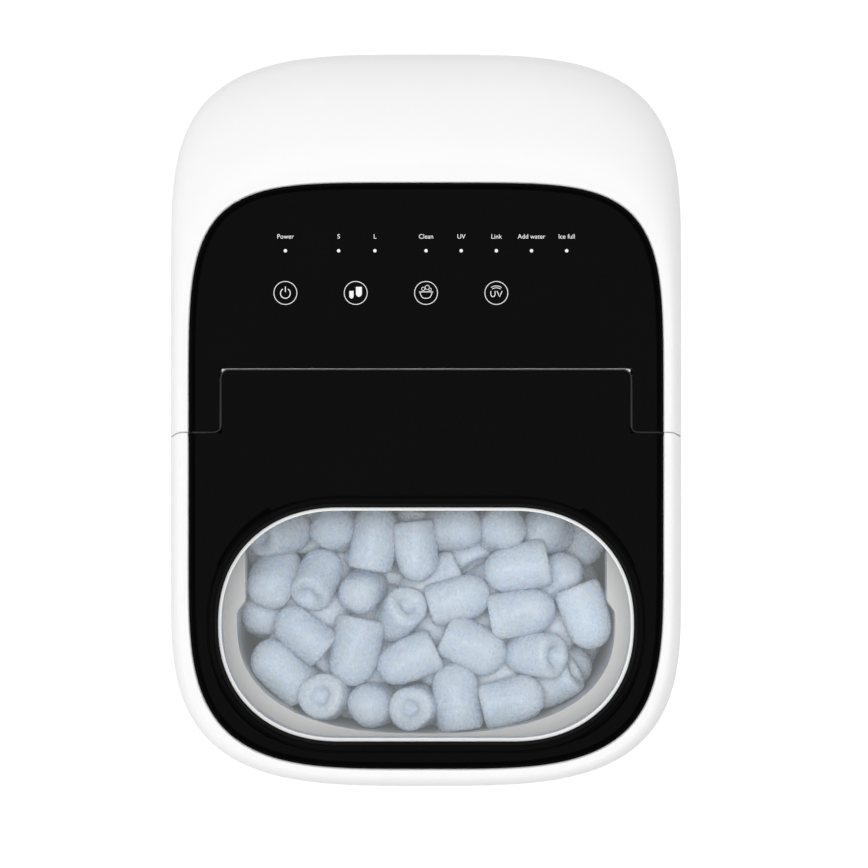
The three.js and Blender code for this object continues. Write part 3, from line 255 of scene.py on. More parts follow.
def wall_mesh(name, outer, inner, solid=None, wrap=False, crease=35.0):
    """A closed thin wall between two grids of the same shape."""
    rows, columns = outer.shape[:2]
    if solid is None:
        solid = np.ones((rows if wrap else rows - 1, columns - 1), dtype=bool)
    faces = wall_faces(solid, rows, columns, wrap)
    return new_mesh(name, np.concatenate([outer.reshape(-1, 3), inner.reshape(-1, 3)]), faces, crease)


def turned_mesh(name, profile, centre, axis="z", steps=48, crease=35.0):
    """A profile of (radius, height) turned about an axis: a closed loop, or one with ends on the axis."""
    profile = np.asarray(profile, dtype=float)
    turn = np.linspace(0, 2 * np.pi, steps, endpoint=False)[:, None]
    across = np.stack([profile[:, 0] * np.cos(turn), profile[:, 0] * np.sin(turn),
                       np.broadcast_to(profile[:, 1], (steps, len(profile)))], axis=-1)
    order = {"z": [0, 1, 2], "x": [2, 0, 1], "y": [1, 2, 0]}[axis]
    points = across[..., order].reshape(-1, 3) + np.asarray(centre)
    here = np.arange(steps * len(profile)).reshape(steps, len(profile))
    ahead = np.roll(here, -1, axis=0)
    closed = profile[0, 0] > 0 or profile[-1, 0] > 0
    if closed:
        here, ahead = (np.concatenate([grid, grid[:, :1]], axis=1) for grid in (here, ahead))
    faces = np.stack([here[:, :-1], ahead[:, :-1], ahead[:, 1:], here[:, 1:]], -1)
    mesh = new_mesh(name, points, faces, crease)
    merge_doubles(mesh)
    return mesh


def merge_doubles(mesh, reach=1e-6):
    """Joins points that lie on each other, as at a pole, and drops the faces that collapse."""
    work = bmesh.new()
    work.from_mesh(mesh)
    bmesh.ops.remove_doubles(work, verts=work.verts, dist=reach)
    bmesh.ops.dissolve_degenerate(work, edges=work.edges, dist=reach)
    work.to_mesh(mesh)
    work.free()

# %% [markdown]
# ## Finishes
# No moulded surface is one flat colour. Each finish starts from Object coordinates, so it stays put
# when a piece moves: a broad noise shifts the colour a little, a middle noise wears the gloss, and a
# fine noise becomes bump, as the skin that a steel mould leaves on plastic.

# %% Node helpers
def link(tree, source, target):
    """Joins an output to an input."""
    tree.links.new(source, target)


def noise(tree, coordinates, scale, detail=3.0):
    """A cloudy pattern with about so many patches to a metre."""
    node = tree.nodes.new("ShaderNodeTexNoise")
    node.inputs["Scale"].default_value = scale
    node.inputs["Detail"].default_value = detail
    link(tree, coordinates, node.inputs["Vector"])
    return node.outputs["Fac"]


def remap(tree, value, low, high, start=0.35, end=0.65):
    """Stretches the usual spread of a noise onto a range of values."""
    node = tree.nodes.new("ShaderNodeMapRange")
    node.inputs["From Min"].default_value = start
    node.inputs["From Max"].default_value = end
    node.inputs["To Min"].default_value = low
    node.inputs["To Max"].default_value = high
    link(tree, value, node.inputs["Value"])
    return node.outputs["Result"]


def blend_colours(tree, factor, first, second):
    """Mixes two colours by a factor."""
    node = tree.nodes.new("ShaderNodeMix")
    node.data_type = "RGBA"
    node.inputs["A"].default_value = (*first, 1)
    node.inputs["B"].default_value = (*second, 1)
    link(tree, factor, node.inputs["Factor"])
    return node.outputs["Result"]


def finish_of(name, first, second, roughness, bump=0.02, grain=2500, patch=25, metallic=0.0,
              coat=0.0, specular=0.5):
    """A moulded or painted finish: two close colours, a range of roughness and a fine grain."""
    material = bpy.data.materials.new(name)
    material.use_nodes = True
    tree = material.node_tree
    shader = tree.nodes["Principled BSDF"]
    where = tree.nodes.new("ShaderNodeTexCoord").outputs["Object"]
    broad = noise(tree, where, patch)
    link(tree, blend_colours(tree, broad, first, second), shader.inputs["Base Color"])
    link(tree, remap(tree, noise(tree, where, patch * 6), *roughness), shader.inputs["Roughness"])
    relief = tree.nodes.new("ShaderNodeBump")
    relief.inputs["Strength"].default_value = bump
    relief.inputs["Distance"].default_value = 0.1 * MM
    link(tree, noise(tree, where, grain), relief.inputs["Height"])
    link(tree, relief.outputs["Normal"], shader.inputs["Normal"])
    shader.inputs["Metallic"].default_value = metallic
    shader.inputs["Coat Weight"].default_value = coat
    shader.inputs["Coat Roughness"].default_value = 0.08
    shader.inputs["Specular IOR Level"].default_value = specular
    return material


white_shell = finish_of("white_shell", (0.86, 0.86, 0.86), (0.885, 0.885, 0.88), (0.3, 0.36), 0.004, 900)
white_liner = finish_of("white_liner", (0.78, 0.79, 0.79), (0.82, 0.82, 0.82), (0.4, 0.5), 0.1, 1200)
black_gloss = finish_of("black_gloss", (0.0012, 0.0012, 0.0013), (0.0018, 0.0018, 0.0019), (0.1, 0.14),
                        0.004, 900, specular=0.12)
black_mould = finish_of("black_mould", (0.012, 0.012, 0.013), (0.02, 0.02, 0.021), (0.42, 0.6), 0.25, 1400)
grey_trim = finish_of("grey_trim", (0.16, 0.165, 0.17), (0.2, 0.2, 0.205), (0.38, 0.5), 0.15, 1400)
bezel_black = finish_of("bezel_black", (0.0035, 0.0035, 0.0037), (0.005, 0.005, 0.0052), (0.16, 0.22),
                        0.02, 900, specular=0.2)
basket_plastic = finish_of("basket_plastic", (0.62, 0.61, 0.59), (0.7, 0.69, 0.67), (0.3, 0.4), 0.06, 1200)
tub_plastic = finish_of("tub_plastic", (0.5, 0.53, 0.55), (0.58, 0.6, 0.62), (0.34, 0.48), 0.08, 1100)
rubber = finish_of("rubber", (0.018, 0.018, 0.019), (0.03, 0.03, 0.031), (0.7, 0.85), 0.4, 1600)
steel = finish_of("steel", (0.55, 0.56, 0.57), (0.66, 0.66, 0.67), (0.25, 0.4), 0.1, 3000, metallic=1.0)
plated_copper = finish_of("plated_copper", (0.62, 0.55, 0.47), (0.74, 0.7, 0.64), (0.22, 0.36), 0.1, 900,
                          metallic=1.0)
fin_metal = finish_of("fin_metal", (0.62, 0.63, 0.64), (0.72, 0.72, 0.73), (0.3, 0.45), 0.15, 2500,
                      metallic=1.0)
enamel = finish_of("black_enamel", (0.01, 0.01, 0.011), (0.02, 0.02, 0.021), (0.25, 0.42), 0.12, 700,
                   coat=0.4)
foam = finish_of("foam", (0.72, 0.7, 0.64), (0.82, 0.8, 0.75), (0.8, 0.95), 0.9, 420)
board_green = finish_of("board_green", (0.015, 0.1, 0.05), (0.03, 0.15, 0.08), (0.3, 0.5), 0.2, 800)
print("finishes:", len(bpy.data.materials))

# %% [markdown]
# ### Printed white, window and ice
# The print on the panel is a thin white ink. The window is clear plastic that passes light straight
# through, so its shader is mostly transparent with a faint gloss. Ice from a finger mould is cloudy:
# light scatters inside it, so it has subsurface scattering and part transmission.

# %% Special finishes
ink = finish_of("white_ink", (0.8, 0.8, 0.8), (0.9, 0.9, 0.9), (0.4, 0.5), 0.05, 3000)


def clear_sheet(name, tint, alpha):
    """Clear moulded sheet: a glossy surface with little body, so what is behind it shows."""
    material = finish_of(name, tint, tint, (0.03, 0.06), 0.01, 300, specular=0.5)
    shader = material.node_tree.nodes["Principled BSDF"]
    shader.inputs["Alpha"].default_value = alpha
    return material


def cloudy_ice(name):
    """Frosted ice: pale blue-white, scattering inside, with frost patches that are rougher."""
    material = finish_of(name, (0.62, 0.75, 0.94), (0.84, 0.91, 1.0), (0.18, 0.4), 0.04, 120, 70)
    shader = material.node_tree.nodes["Principled BSDF"]
    shader.inputs["Subsurface Weight"].default_value = 0.6
    shader.inputs["Subsurface Radius"].default_value = (0.7, 0.85, 1.0)
    shader.inputs["Subsurface Scale"].default_value = 6 * MM
    shader.inputs["Transmission Weight"].default_value = 0.3
    shader.inputs["IOR"].default_value = 1.31
    return material


window_clear = clear_sheet("window_clear", (0.9, 0.95, 0.98), 0.06)
lamp_clear = clear_sheet("lamp_clear", (0.7, 0.6, 0.9), 0.5)
ice = cloudy_ice("cloudy_ice")

# %% [markdown]
# ## The white housing
# The housing is one skin carried round the machine. At every ray it starts on the wall of the panel's
# recess, crosses the flat rim, rolls over a quarter ellipse and drops down the side. The roll is as
# wide as the space between rim and wall there, so it is tight at the sides and a deep shoulder at the
# rear. The rays spread from a point on the lid's seam, so the seam is simply where the rays stop.

# %% Housing sections
def rolled_section(angles, centre_y, recess, rim, wall, top, floor, roll_steps=20):
    """Rays by section points: recess wall, crest, flat rim, quarter-ellipse roll, then the side.

    The roll at each ray is a quarter ellipse: across goes as one less the cosine, down as one less
    the sine. Its depth grows from the side's to the rear's with the space that it has there.
    """
    hollow = edge(recess, angles, centre_y)
    crest = edge(inset(recess, -0.4 * MM), angles, centre_y)
    land = edge(rim, angles, centre_y)
    outer = edge(wall, angles, centre_y)
    space = np.linalg.norm(outer - land, axis=1)
    widest = REAR - (PANEL["rear"] + RIM_FLAT)
    narrowest = HALF - PANEL["half"] - RIM_FLAT
    drop = SIDE_DROP + (REAR_DROP - SIDE_DROP) * np.clip((space - narrowest) / (widest - narrowest), 0, 1)
    level = np.ones(len(angles))
    columns = [(hollow, DECK_BOTTOM * level), (hollow, (top - 0.4 * MM) * level), (crest, top * level)]
    for turn in np.linspace(np.pi / 2, 0, roll_steps):
        across = outer + (land - outer) * (1 - math.cos(turn))
        columns.append((across, top - drop * (1 - math.sin(turn))))
    start = columns[-1][1]
    for share in np.linspace(0, 1, 6)[1:]:
        columns.append((outer, start + (floor - start) * share))
    return np.stack([np.column_stack([xy, z]) for xy, z in columns], axis=1)


def housing_walls(angles, centre_y, floor):
    """Outer and inner faces of the housing. The inner one is the same rule, a wall thickness inside."""
    recess = inset(PANEL, -GAP)
    rim = inset(PANEL, -RIM_FLAT)
    outer = rolled_section(angles, centre_y, recess, rim, BODY, TOP, floor)
    inner = rolled_section(angles, centre_y, recess, inset(rim, WALL / 2), inset(BODY, WALL),
                           DECK_BOTTOM, floor)
    inner[:, :3, 2] = DECK_BOTTOM
    inner[:, :2, :2] = outer[:, :2, :2]
    outer[:, 0, 2] = DECK_TOP
    return outer, inner


def behind_arc(radius, z):
    """How far forward an arc about the hinge reaches at each height; upright below the axis."""
    rise = np.clip(z - AXIS_Z, 0, radius)
    return AXIS_Y - np.sqrt(radius ** 2 - rise ** 2)


LID_ARC = HINGE_RADIUS + SEAM / 2
COVER_ARC = HINGE_RADIUS - SEAM / 2
front_rays = np.linspace(-np.pi, 0, 361)
rear_rays = np.linspace(0, np.pi, 361)
outer, inner = housing_walls(front_rays, SEAM_Y - SEAM / 2, PART_LINE)
for face in (outer, inner):
    face[..., 1] = np.minimum(face[..., 1], behind_arc(LID_ARC, face[..., 2]))
piece("lid_rim", wall_mesh("lid_rim", outer, inner), white_shell, "lid",
      ["lid_shell"], bevel=0.25 * MM)

outer, inner = housing_walls(rear_rays, AXIS_Y - COVER_ARC, SHELL_TOP + GAP)
for face in (outer, inner):
    face[..., 1] = np.maximum(face[..., 1], behind_arc(COVER_ARC, face[..., 2]))
piece("rear_cover", wall_mesh("rear_cover", outer, inner), white_shell, "root",
      ["rear_top_cover"], bevel=0.25 * MM)

# %% [markdown]
# ## The outer shell
# Below the parting line the shell is a straight wall on the body's outline, eased in at the foot. It
# is a grid of rays by heights. Vents are cells left out of the mask, so rows and columns of the grid
# are laid to fall on the edges of the slots.

# %% Outer shell with its vents
VENT_FRONT, VENT_BACK, VENT_LOW, VENT_HIGH = 30 * MM, 90 * MM, 60 * MM, 160 * MM
GRILLE_HALF, GRILLE_LOW, GRILLE_HIGH = 84 * MM, 34 * MM, 236 * MM
LOUVRE_PITCH, LOUVRE_OPEN = 14 * MM, 7 * MM
FOOT_ROLL = 3 * MM
PLATE_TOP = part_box("rear_plate")[1][2]
drain_low, drain_high = corners("drain_fitting")
DRAIN = (drain_low + drain_high) / 2
DRAIN_RADIUS = (drain_high[2] - drain_low[2]) / 2 + GAP


def slot_levels(low, high):
    """Heights of the lower and upper edge of each slot in a stack."""
    count = int((high - low) / LOUVRE_PITCH + 1e-6)
    starts = low + LOUVRE_PITCH * np.arange(count)
    return np.sort(np.concatenate([starts, starts + LOUVRE_OPEN]))


def with_levels(*groups):
    """Several lists of values as one sorted list, with repeats dropped."""
    return np.unique(np.round(np.concatenate(groups), 6))


def foot_ease(z, floor):
    """How far the wall is drawn in near its foot: a quarter circle of the foot's roll."""
    share = np.clip((z - floor) / FOOT_ROLL, 0, 1)
    return FOOT_ROLL * (1 - np.sqrt(1 - (1 - share) ** 2))


def turn_at(x=None, y=None):
    """The ray from the middle that meets the rear half of the body at a given x, or at a given y."""
    rays = np.linspace(0.02, math.pi / 2, 4000)
    points = edge(BODY, rays)
    if x is not None:
        return float(np.interp(-x, -points[:, 0], rays))
    return float(np.interp(y, points[:, 1], rays))


def both_sides(turns):
    """The same rays on the right and, mirrored, on the left."""
    return list(turns) + [math.pi - turn for turn in turns]


def upright(shape, rays, heights, drawn_in):
    """The outline at every ray, drawn in by its own distance at every height."""
    rings = [np.column_stack([edge(inset(shape, d), rays), np.full(len(rays), z)])
             for d, z in zip(drawn_in, heights)]
    return np.stack(rings, axis=1)


def round_out(grid, centre, radius):
    """Slides points along a side wall so that a square ring of cells about a centre becomes a circle.

    A point's square distance is its larger share, and its round distance is the usual one. Their
    ratio carries the square to the circle, and it eases back to one at twice the radius.
    """
    u = (grid[..., 1] - centre[1]) / radius
    v = (grid[..., 2] - centre[2]) / radius
    square = np.maximum(np.abs(u), np.abs(v))
    ratio = square / np.maximum(np.hypot(u, v), 1e-9)
    ease = np.clip(square - 1, 0, 1)
    scale = np.where(square > 2, 1, ratio + (1 - ratio) * ease)
    near = (grid[..., 0] > 0) & (square < 2)
    grid[..., 1] = np.where(near, centre[1] + radius * u * scale, grid[..., 1])
    grid[..., 2] = np.where(near, centre[2] + radius * v * scale, grid[..., 2])
    return grid


vent_turns = [turn_at(y=VENT_FRONT), turn_at(y=VENT_BACK)]
grille_turn = turn_at(x=GRILLE_HALF)
drain_steps = np.linspace(-2, 2, 17)
drain_rays = np.arctan2(DRAIN[1] + drain_steps * DRAIN_RADIUS, HALF)
rays = with_levels(np.linspace(-np.pi, np.pi, 480, endpoint=False), both_sides(vent_turns), drain_rays,
                   both_sides([grille_turn]))
heights = with_levels(SHELL_BOTTOM + np.linspace(0, FOOT_ROLL, 6), DRAIN[2] + drain_steps * DRAIN_RADIUS,
                      np.linspace(SHELL_BOTTOM + FOOT_ROLL, SHELL_TOP, 24),
                      slot_levels(VENT_LOW, VENT_HIGH), [GRILLE_LOW, GRILLE_HIGH])
ease = foot_ease(heights, SHELL_BOTTOM)
outer = upright(BODY, rays, heights, ease)
inner = upright(BODY, rays, heights, ease + WALL)
middle_ray = rays + np.diff(np.append(rays, np.pi)) / 2
middle_height = heights[:-1] + np.diff(heights) / 2
beside = np.minimum(np.abs(middle_ray), math.pi - np.abs(middle_ray))
in_vent = (middle_ray > 0) & (beside > vent_turns[0]) & (beside < vent_turns[1])
in_slot = ((middle_height - VENT_LOW) % LOUVRE_PITCH < LOUVRE_OPEN) & (middle_height > VENT_LOW)
in_slot &= middle_height < slot_levels(VENT_LOW, VENT_HIGH)[-1]
in_grille = (middle_ray > grille_turn) & (middle_ray < math.pi - grille_turn)
behind_grille = (middle_height > GRILLE_LOW) & (middle_height < GRILLE_HIGH)
in_drain_ray = (middle_ray > drain_rays[4]) & (middle_ray < drain_rays[12])
in_drain_level = np.abs(middle_height - DRAIN[2]) < DRAIN_RADIUS
solid = ~(in_vent[:, None] & in_slot[None, :]) & ~(in_grille[:, None] & behind_grille[None, :])
solid &= ~(in_drain_ray[:, None] & in_drain_level[None, :])
for face in (outer, inner):
    round_out(face, DRAIN, DRAIN_RADIUS)
piece("smooth_shell", wall_mesh("smooth_shell", outer, inner, solid, wrap=True), white_shell,
      "root", ["outer_shell"], bevel=0.25 * MM)

# %% [markdown]
# ## Rear grille and plate
# The hole in the rear is filled by a louvred grille and, under it, a plain plate round the mains
# inlet. Both are stretches of the same wall, so they use the same rays, and only their masks differ.

# %% Rear grille and rear plate
GRILLE_FRAME, GRILLE_RIB = 12 * MM, 8 * MM
inlet_low, inlet_high = corners("power_inlet")
grille_edge = turn_at(x=GRILLE_HALF - GAP)


def rear_wall(name, rays, heights, holes, replaces):
    """A stretch of the rear wall with holes, each given as a test of x and z at a cell's middle."""
    outer = upright(BODY, rays, heights, np.zeros(len(heights)))
    inner = upright(BODY, rays, heights, np.full(len(heights), WALL))
    cell = (outer[1:, 1:] + outer[:-1, :-1]) / 2
    solid = ~holes(cell[..., 0], cell[..., 2])
    mesh = wall_mesh(name, outer, inner, solid)
    return piece(name, mesh, white_shell, "root", [replaces], bevel=0.3 * MM)


slot_low, slot_high = PLATE_TOP + GRILLE_FRAME / 3, GRILLE_HIGH - GRILLE_FRAME / 2
slot_heights = slot_levels(slot_low, slot_high)


def louvres(x, z):
    """Slots between the frame and the middle rib, at every step of the louvre's pitch."""
    across = (np.abs(x) > GRILLE_RIB / 2) & (np.abs(x) < GRILLE_HALF - GRILLE_FRAME)
    return across & ((z - slot_low) % LOUVRE_PITCH < LOUVRE_OPEN) & (z > slot_low) & (z < slot_heights[-1])


grille_rays = with_levels(np.linspace(grille_edge, math.pi - grille_edge, 90),
                          both_sides([turn_at(x=GRILLE_RIB / 2), turn_at(x=GRILLE_HALF - GRILLE_FRAME)]))
grille_heights = with_levels(np.linspace(PLATE_TOP + GAP, GRILLE_HIGH - GAP, 20), slot_heights)
rear_wall("louvred_grille", grille_rays, grille_heights, louvres, "rear_grille")


def inlet_hole(x, z):
    """The hole round the mains inlet, a gap larger than the inlet."""
    across = (x > inlet_low[0] - GAP) & (x < inlet_high[0] + GAP)
    return across & (z > inlet_low[2] - GAP) & (z < inlet_high[2] + GAP)


plate_rays = with_levels(np.linspace(grille_edge, math.pi - grille_edge, 90),
                         [turn_at(x=inlet_low[0] - GAP), turn_at(x=inlet_high[0] + GAP)])
plate_heights = with_levels(np.linspace(GRILLE_LOW + GAP, PLATE_TOP, 12),
                            [inlet_low[2] - GAP, inlet_high[2] + GAP])
rear_wall("inlet_plate", plate_rays, plate_heights, inlet_hole, "rear_plate")

# %% [markdown]
# ## The black top
# The top is one gloss sheet cut along the lid's seam. Near its outline the surface dips in a shallow
# groove and then turns down at the very edge, so the height of every point follows from how far it is
# inside the outline. Both halves use that one rule, which is why their grooves meet across the seam.

# %% Height of the black top
EDGE_ROUND = 0.6 * MM
SEAM_ROUND = 0.45 * MM
MOAT_FROM, MOAT_TO, MOAT_DEEP = 0.8 * MM, 3.6 * MM, 0.55 * MM


def top_height(x, y):
    """The flat top, less a rounded outer edge, less a shallow channel that runs just inside it."""
    inside = depth_inside(PANEL, x, y)
    round_off = EDGE_ROUND * (1 - np.sqrt(1 - (1 - np.clip(inside / EDGE_ROUND, 0, 1)) ** 2))
    bank = smoothstep(MOAT_TO, MOAT_FROM, inside)
    return PANEL_TOP - round_off - MOAT_DEEP * bank


def seam_round(distance):
    """How far the surface falls away beside a seam: a quarter circle of the seam's rounding."""
    share = np.clip(distance / SEAM_ROUND, 0, 1)
    return SEAM_ROUND * (1 - np.sqrt(1 - (1 - share) ** 2))


def seam_line(x):
    """The front edge of the fixed half at each x: the side seam, a rounded corner, the tab's back."""
    reach_back = AXIS_Y + TAB_REACH
    x = np.abs(x)
    outer_corner = SEAM_Y + TAB_CORNER - np.sqrt(
        np.maximum(0, TAB_CORNER ** 2 - np.clip(TAB_HALF + TAB_CORNER - x, 0, TAB_CORNER) ** 2))
    inner_corner = reach_back - TAB_CORNER + np.sqrt(
        np.maximum(0, TAB_CORNER ** 2 - np.clip(x - TAB_HALF + TAB_CORNER, 0, TAB_CORNER) ** 2))
    return np.where(x > TAB_HALF, outer_corner, inner_corner)


def inside_lid(x, y, gap):
    """True where the lid covers the point, each edge drawn back by a gap."""
    x = np.abs(x)
    behind_sides = seam_line(np.minimum(x, TAB_HALF - gap) + gap) - gap
    return (y < SEAM_Y - gap) | ((x < TAB_HALF - gap) & (y < behind_sides))


def lid_reach(shape, angles, gap):
    """Where rays from the window's middle leave the lid, on the seam or on the outline, by halving."""
    cos, sin = np.cos(angles), np.sin(angles)
    low, high = np.zeros_like(angles), np.full_like(angles, REAR - FRONT)
    for _ in range(48):
        middle = (low + high) / 2
        x, y = middle * cos, WINDOW_Y + middle * sin
        inside = (fullness(shape, x, y) < 1) & inside_lid(x, y, gap)
        low = np.where(inside, middle, low)
        high = np.where(inside, high, middle)
    return low


EDGE_STEPS = np.array([5, 4, 3.6, 3.1, 2.6, 2.1, 1.7, 1.3, 1.0, 0.8, 0.6, 0.45, 0.33, 0.22, 0.13, 0.06,
                       0.02, 0]) * MM


def sheet_round_window(shape, opening, gap, top, bottom, groove=None):
    """A sheet from an opening to the lid's edge: rays by rings that crowd towards both edges."""
    turns = np.linspace(0, 2 * np.pi, 960, endpoint=False)
    near = np.array([0, 0.15, 0.4, 0.8, 1.2, 1.6, 2.0, 2.4, 2.8, 3.4]) * MM
    rings = [edge(inset(opening, -distance), turns, WINDOW_Y) for distance in near]
    far = lid_reach(shape, turns, gap)
    last = np.linalg.norm(rings[-1] - [0, WINDOW_Y], axis=1)
    inward = np.stack([np.cos(turns), np.sin(turns)], axis=1)
    for share in np.linspace(0, 1, 14)[1:-1]:
        radius = last + (far - EDGE_STEPS[0] - last) * share
        rings.append([0, WINDOW_Y] + radius[:, None] * inward)
    for step in EDGE_STEPS:
        rings.append([0, WINDOW_Y] + (far - step)[:, None] * inward)
    grid = np.stack(rings, axis=1)
    x, y = grid[..., 0], grid[..., 1]
    height = top(x, y)
    if groove is not None:
        to_edge = np.concatenate([np.full(grid.shape[1] - len(EDGE_STEPS), 1.0), EDGE_STEPS])
        height = height - groove(x, y) - seam_round(to_edge)
    outer = np.dstack([x, y, height])
    inner = np.dstack([x, y, np.full_like(x, bottom)])
    return outer, inner


# %% Lid half of the black top
def clear_of_arc(faces, back=False):
    """Draws a sheet back to the arc about the hinge: the lid's sides forward, or the fixed part back."""
    for face in faces:
        x, y, z = (face[..., i] for i in range(3))
        reach = behind_arc(LID_ARC, z)
        if back:
            near_tab = np.abs(x) < TAB_HALF + SEAM
            face[..., 1] = np.where(near_tab, np.maximum(y, 2 * AXIS_Y - reach), y)
        else:
            beside_tab = np.abs(x) > TAB_HALF - SEAM / 4
            face[..., 1] = np.where(beside_tab, np.minimum(y, reach), y)
    return faces


BEZEL_WIDTH = 2 * MM
GROOVE_AT, GROOVE_WIDTH, GROOVE_DEEP = 2.7 * MM, 1.0 * MM, 0.5 * MM


def window_groove(x, y):
    """A round-bottomed channel at a set distance outside the window."""
    outside = -depth_inside(WINDOW, x, y)
    share = np.clip(np.abs(outside - GROOVE_AT - BEZEL_WIDTH) / (GROOVE_WIDTH / 2), 0, 1)
    return GROOVE_DEEP * np.sqrt(1 - share ** 2)


LEDGE = 1.5 * MM
THINNEST = 0.3 * MM
outer, inner = sheet_round_window(PANEL, inset(WINDOW, -BEZEL_WIDTH - GAP), SEAM / 2, top_height,
                                  PANEL_BOTTOM, window_groove)
outer[..., 2] = np.maximum(outer[..., 2], PANEL_BOTTOM + THINNEST)
piece("lid_top", wall_mesh("lid_top", *clear_of_arc((outer, inner)), wrap=True), black_gloss, "lid",
      ["lid_panel"])


def flat_deck(x, y):
    """The deck that the black top rests on is level."""
    return np.full_like(x, DECK_TOP)


deck = sheet_round_window(inset(PANEL, -GAP), inset(WINDOW, LEDGE), SEAM / 2, flat_deck, DECK_BOTTOM)
piece("lid_deck", wall_mesh("lid_deck", *clear_of_arc(deck), wrap=True), white_shell, "lid",
      ["lid_shell"])

# %% Fixed half of the black top
def sheet_behind_seam(shape, gap, top, bottom, rounded=False):
    """A sheet from the seam to the rear outline: columns across by rows back, crowded at every edge.

    A column's front end is the seam there, and its rear end is the outline, solved for y. Two
    columns at the tab's corner are a hair apart, so the step in the seam is a clean wall.
    """
    half = shape["half"]
    corner = TAB_HALF + gap
    hair = 1e-6
    crowd = np.geomspace(0.02 * MM, TAB_CORNER, 12)
    columns = with_levels(half - EDGE_STEPS, np.linspace(corner, half - EDGE_STEPS[0], 8),
                          [corner - 2 * hair], corner - crowd, corner + crowd,
                          np.linspace(0, corner - TAB_CORNER, 60))
    columns = np.concatenate([-columns[:0:-1], columns])
    across = np.abs(columns)
    behind_tab = across < corner - hair
    near = gap + np.where(behind_tab, seam_line(np.minimum(across, corner) - gap), seam_line(across))
    rear_start = shape["rear"] - shape["rear_end"]
    share = np.clip(across / half, 0, 1) ** shape["rear_power"]
    far = rear_start + shape["rear_end"] * (1 - share) ** (1 / shape["rear_power"])
    far = np.maximum(far, near + 2 * EDGE_STEPS[0])
    rows = [near + step for step in EDGE_STEPS[::-1]]
    rows += [near + EDGE_STEPS[0] + (far - near - 2 * EDGE_STEPS[0]) * t for t in np.linspace(0, 1, 36)[1:]]
    rows += [far - step for step in EDGE_STEPS[1:]]
    y = np.stack(rows, axis=1)
    x = np.broadcast_to(columns[:, None], y.shape)
    height = top(x, y)
    if rounded:
        past_tab = (across[:, None] < corner) | (y > AXIS_Y + TAB_REACH)
        to_tab = np.where(past_tab, half, across[:, None] - corner)
        height = height - seam_round(np.minimum(y - near[:, None], to_tab))
    return np.dstack([x, y, height]), np.dstack([x, y, np.full_like(y, bottom)])


sheet = sheet_behind_seam(PANEL, SEAM / 2, top_height, PANEL_BOTTOM, rounded=True)
piece("fixed_top", wall_mesh("fixed_top", *clear_of_arc(sheet, back=True)), black_gloss, "root",
      ["control_panel"])
deck = sheet_behind_seam(inset(PANEL, -GAP), SEAM / 2, flat_deck, DECK_BOTTOM)
piece("fixed_deck", wall_mesh("fixed_deck", *clear_of_arc(deck, back=True)), white_shell, "root",
      ["rear_top_cover"])

# %% [markdown]
# ## Seam strips: a painted seam line
# The lid swings on an arc, so the fixed sheets behind the tab are cut back to that arc below, and so
# are the lid's sheets at the sides. Thin grey strips lie under the seam as painted light and shade: their
# grey stands for the highlight that the seam's edges catch and for the shade in the gap, in place of the
# white below. One rides the tab, and one on each side rides the fixed top.

# %% Strips under the seam, painted seam highlight and shade
def ribbon(path, width, low, high, closed=False):
    """Points and quads of a flat stroke: the path moved both ways along its normal, at two heights."""
    path = np.asarray(path, dtype=float)
    ahead = np.roll(path, -1, axis=0) - path
    behind = path - np.roll(path, 1, axis=0)
    if not closed:
        ahead[-1], behind[0] = behind[-1], ahead[0]
    ahead, behind = (step / np.linalg.norm(step, axis=1, keepdims=True) for step in (ahead, behind))
    along = (ahead + behind) / np.linalg.norm(ahead + behind, axis=1, keepdims=True)
    half = np.broadcast_to(width, len(path))[:, None] / 2
    across = np.column_stack([-along[:, 1], along[:, 0]]) * half
    left, right = path + across, path - across
    points = np.stack([np.column_stack([side, np.full(len(path), z)])
                       for side, z in ((left, high), (right, high), (right, low), (left, low))], axis=1)
    rows = np.arange(len(path) * 4).reshape(-1, 4)
    start, ahead_rows = (rows, np.roll(rows, -1, axis=0)) if closed else (rows[:-1], rows[1:])
    faces = [np.column_stack([start[:, i], start[:, j], ahead_rows[:, j], ahead_rows[:, i]])
             for i, j in ((0, 1), (1, 2), (2, 3), (3, 0))]
    if not closed:
        faces += [rows[:1, ::-1], rows[-1:]]
    return points.reshape(-1, 3), np.concatenate(faces)


def corner_arc(x, y, radius, start, stop):
    """Points along a quarter circle, for the rounded corners of the seam."""
    turn = np.radians(np.linspace(start, stop, 12))
    return np.column_stack([x + radius * np.cos(turn), y + radius * np.sin(turn)])


LAID_LOW, LAID_HIGH = DECK_TOP + 0.02 * MM, PANEL_BOTTOM - 0.05 * MM
STRIP_WIDTH, STRIP_OFF, STRIP_SHORT = 1.0 * MM, 0.25 * MM, 1.5 * MM
# A dark grey laid under the seam: painted highlight of the seam's edges and painted shade in the gap.
strip_grey = finish_of("strip_grey", (0.05, 0.05, 0.052), (0.07, 0.07, 0.072), (0.5, 0.65), 0.05, 900)
tab_back, corner_x = AXIS_Y + TAB_REACH, TAB_HALF + TAB_CORNER
round_tab = corner_arc(TAB_HALF - TAB_CORNER, tab_back - TAB_CORNER, TAB_CORNER - STRIP_OFF, 0, 90)
tab_path = np.concatenate([round_tab, round_tab[::-1] * [-1, 1]])
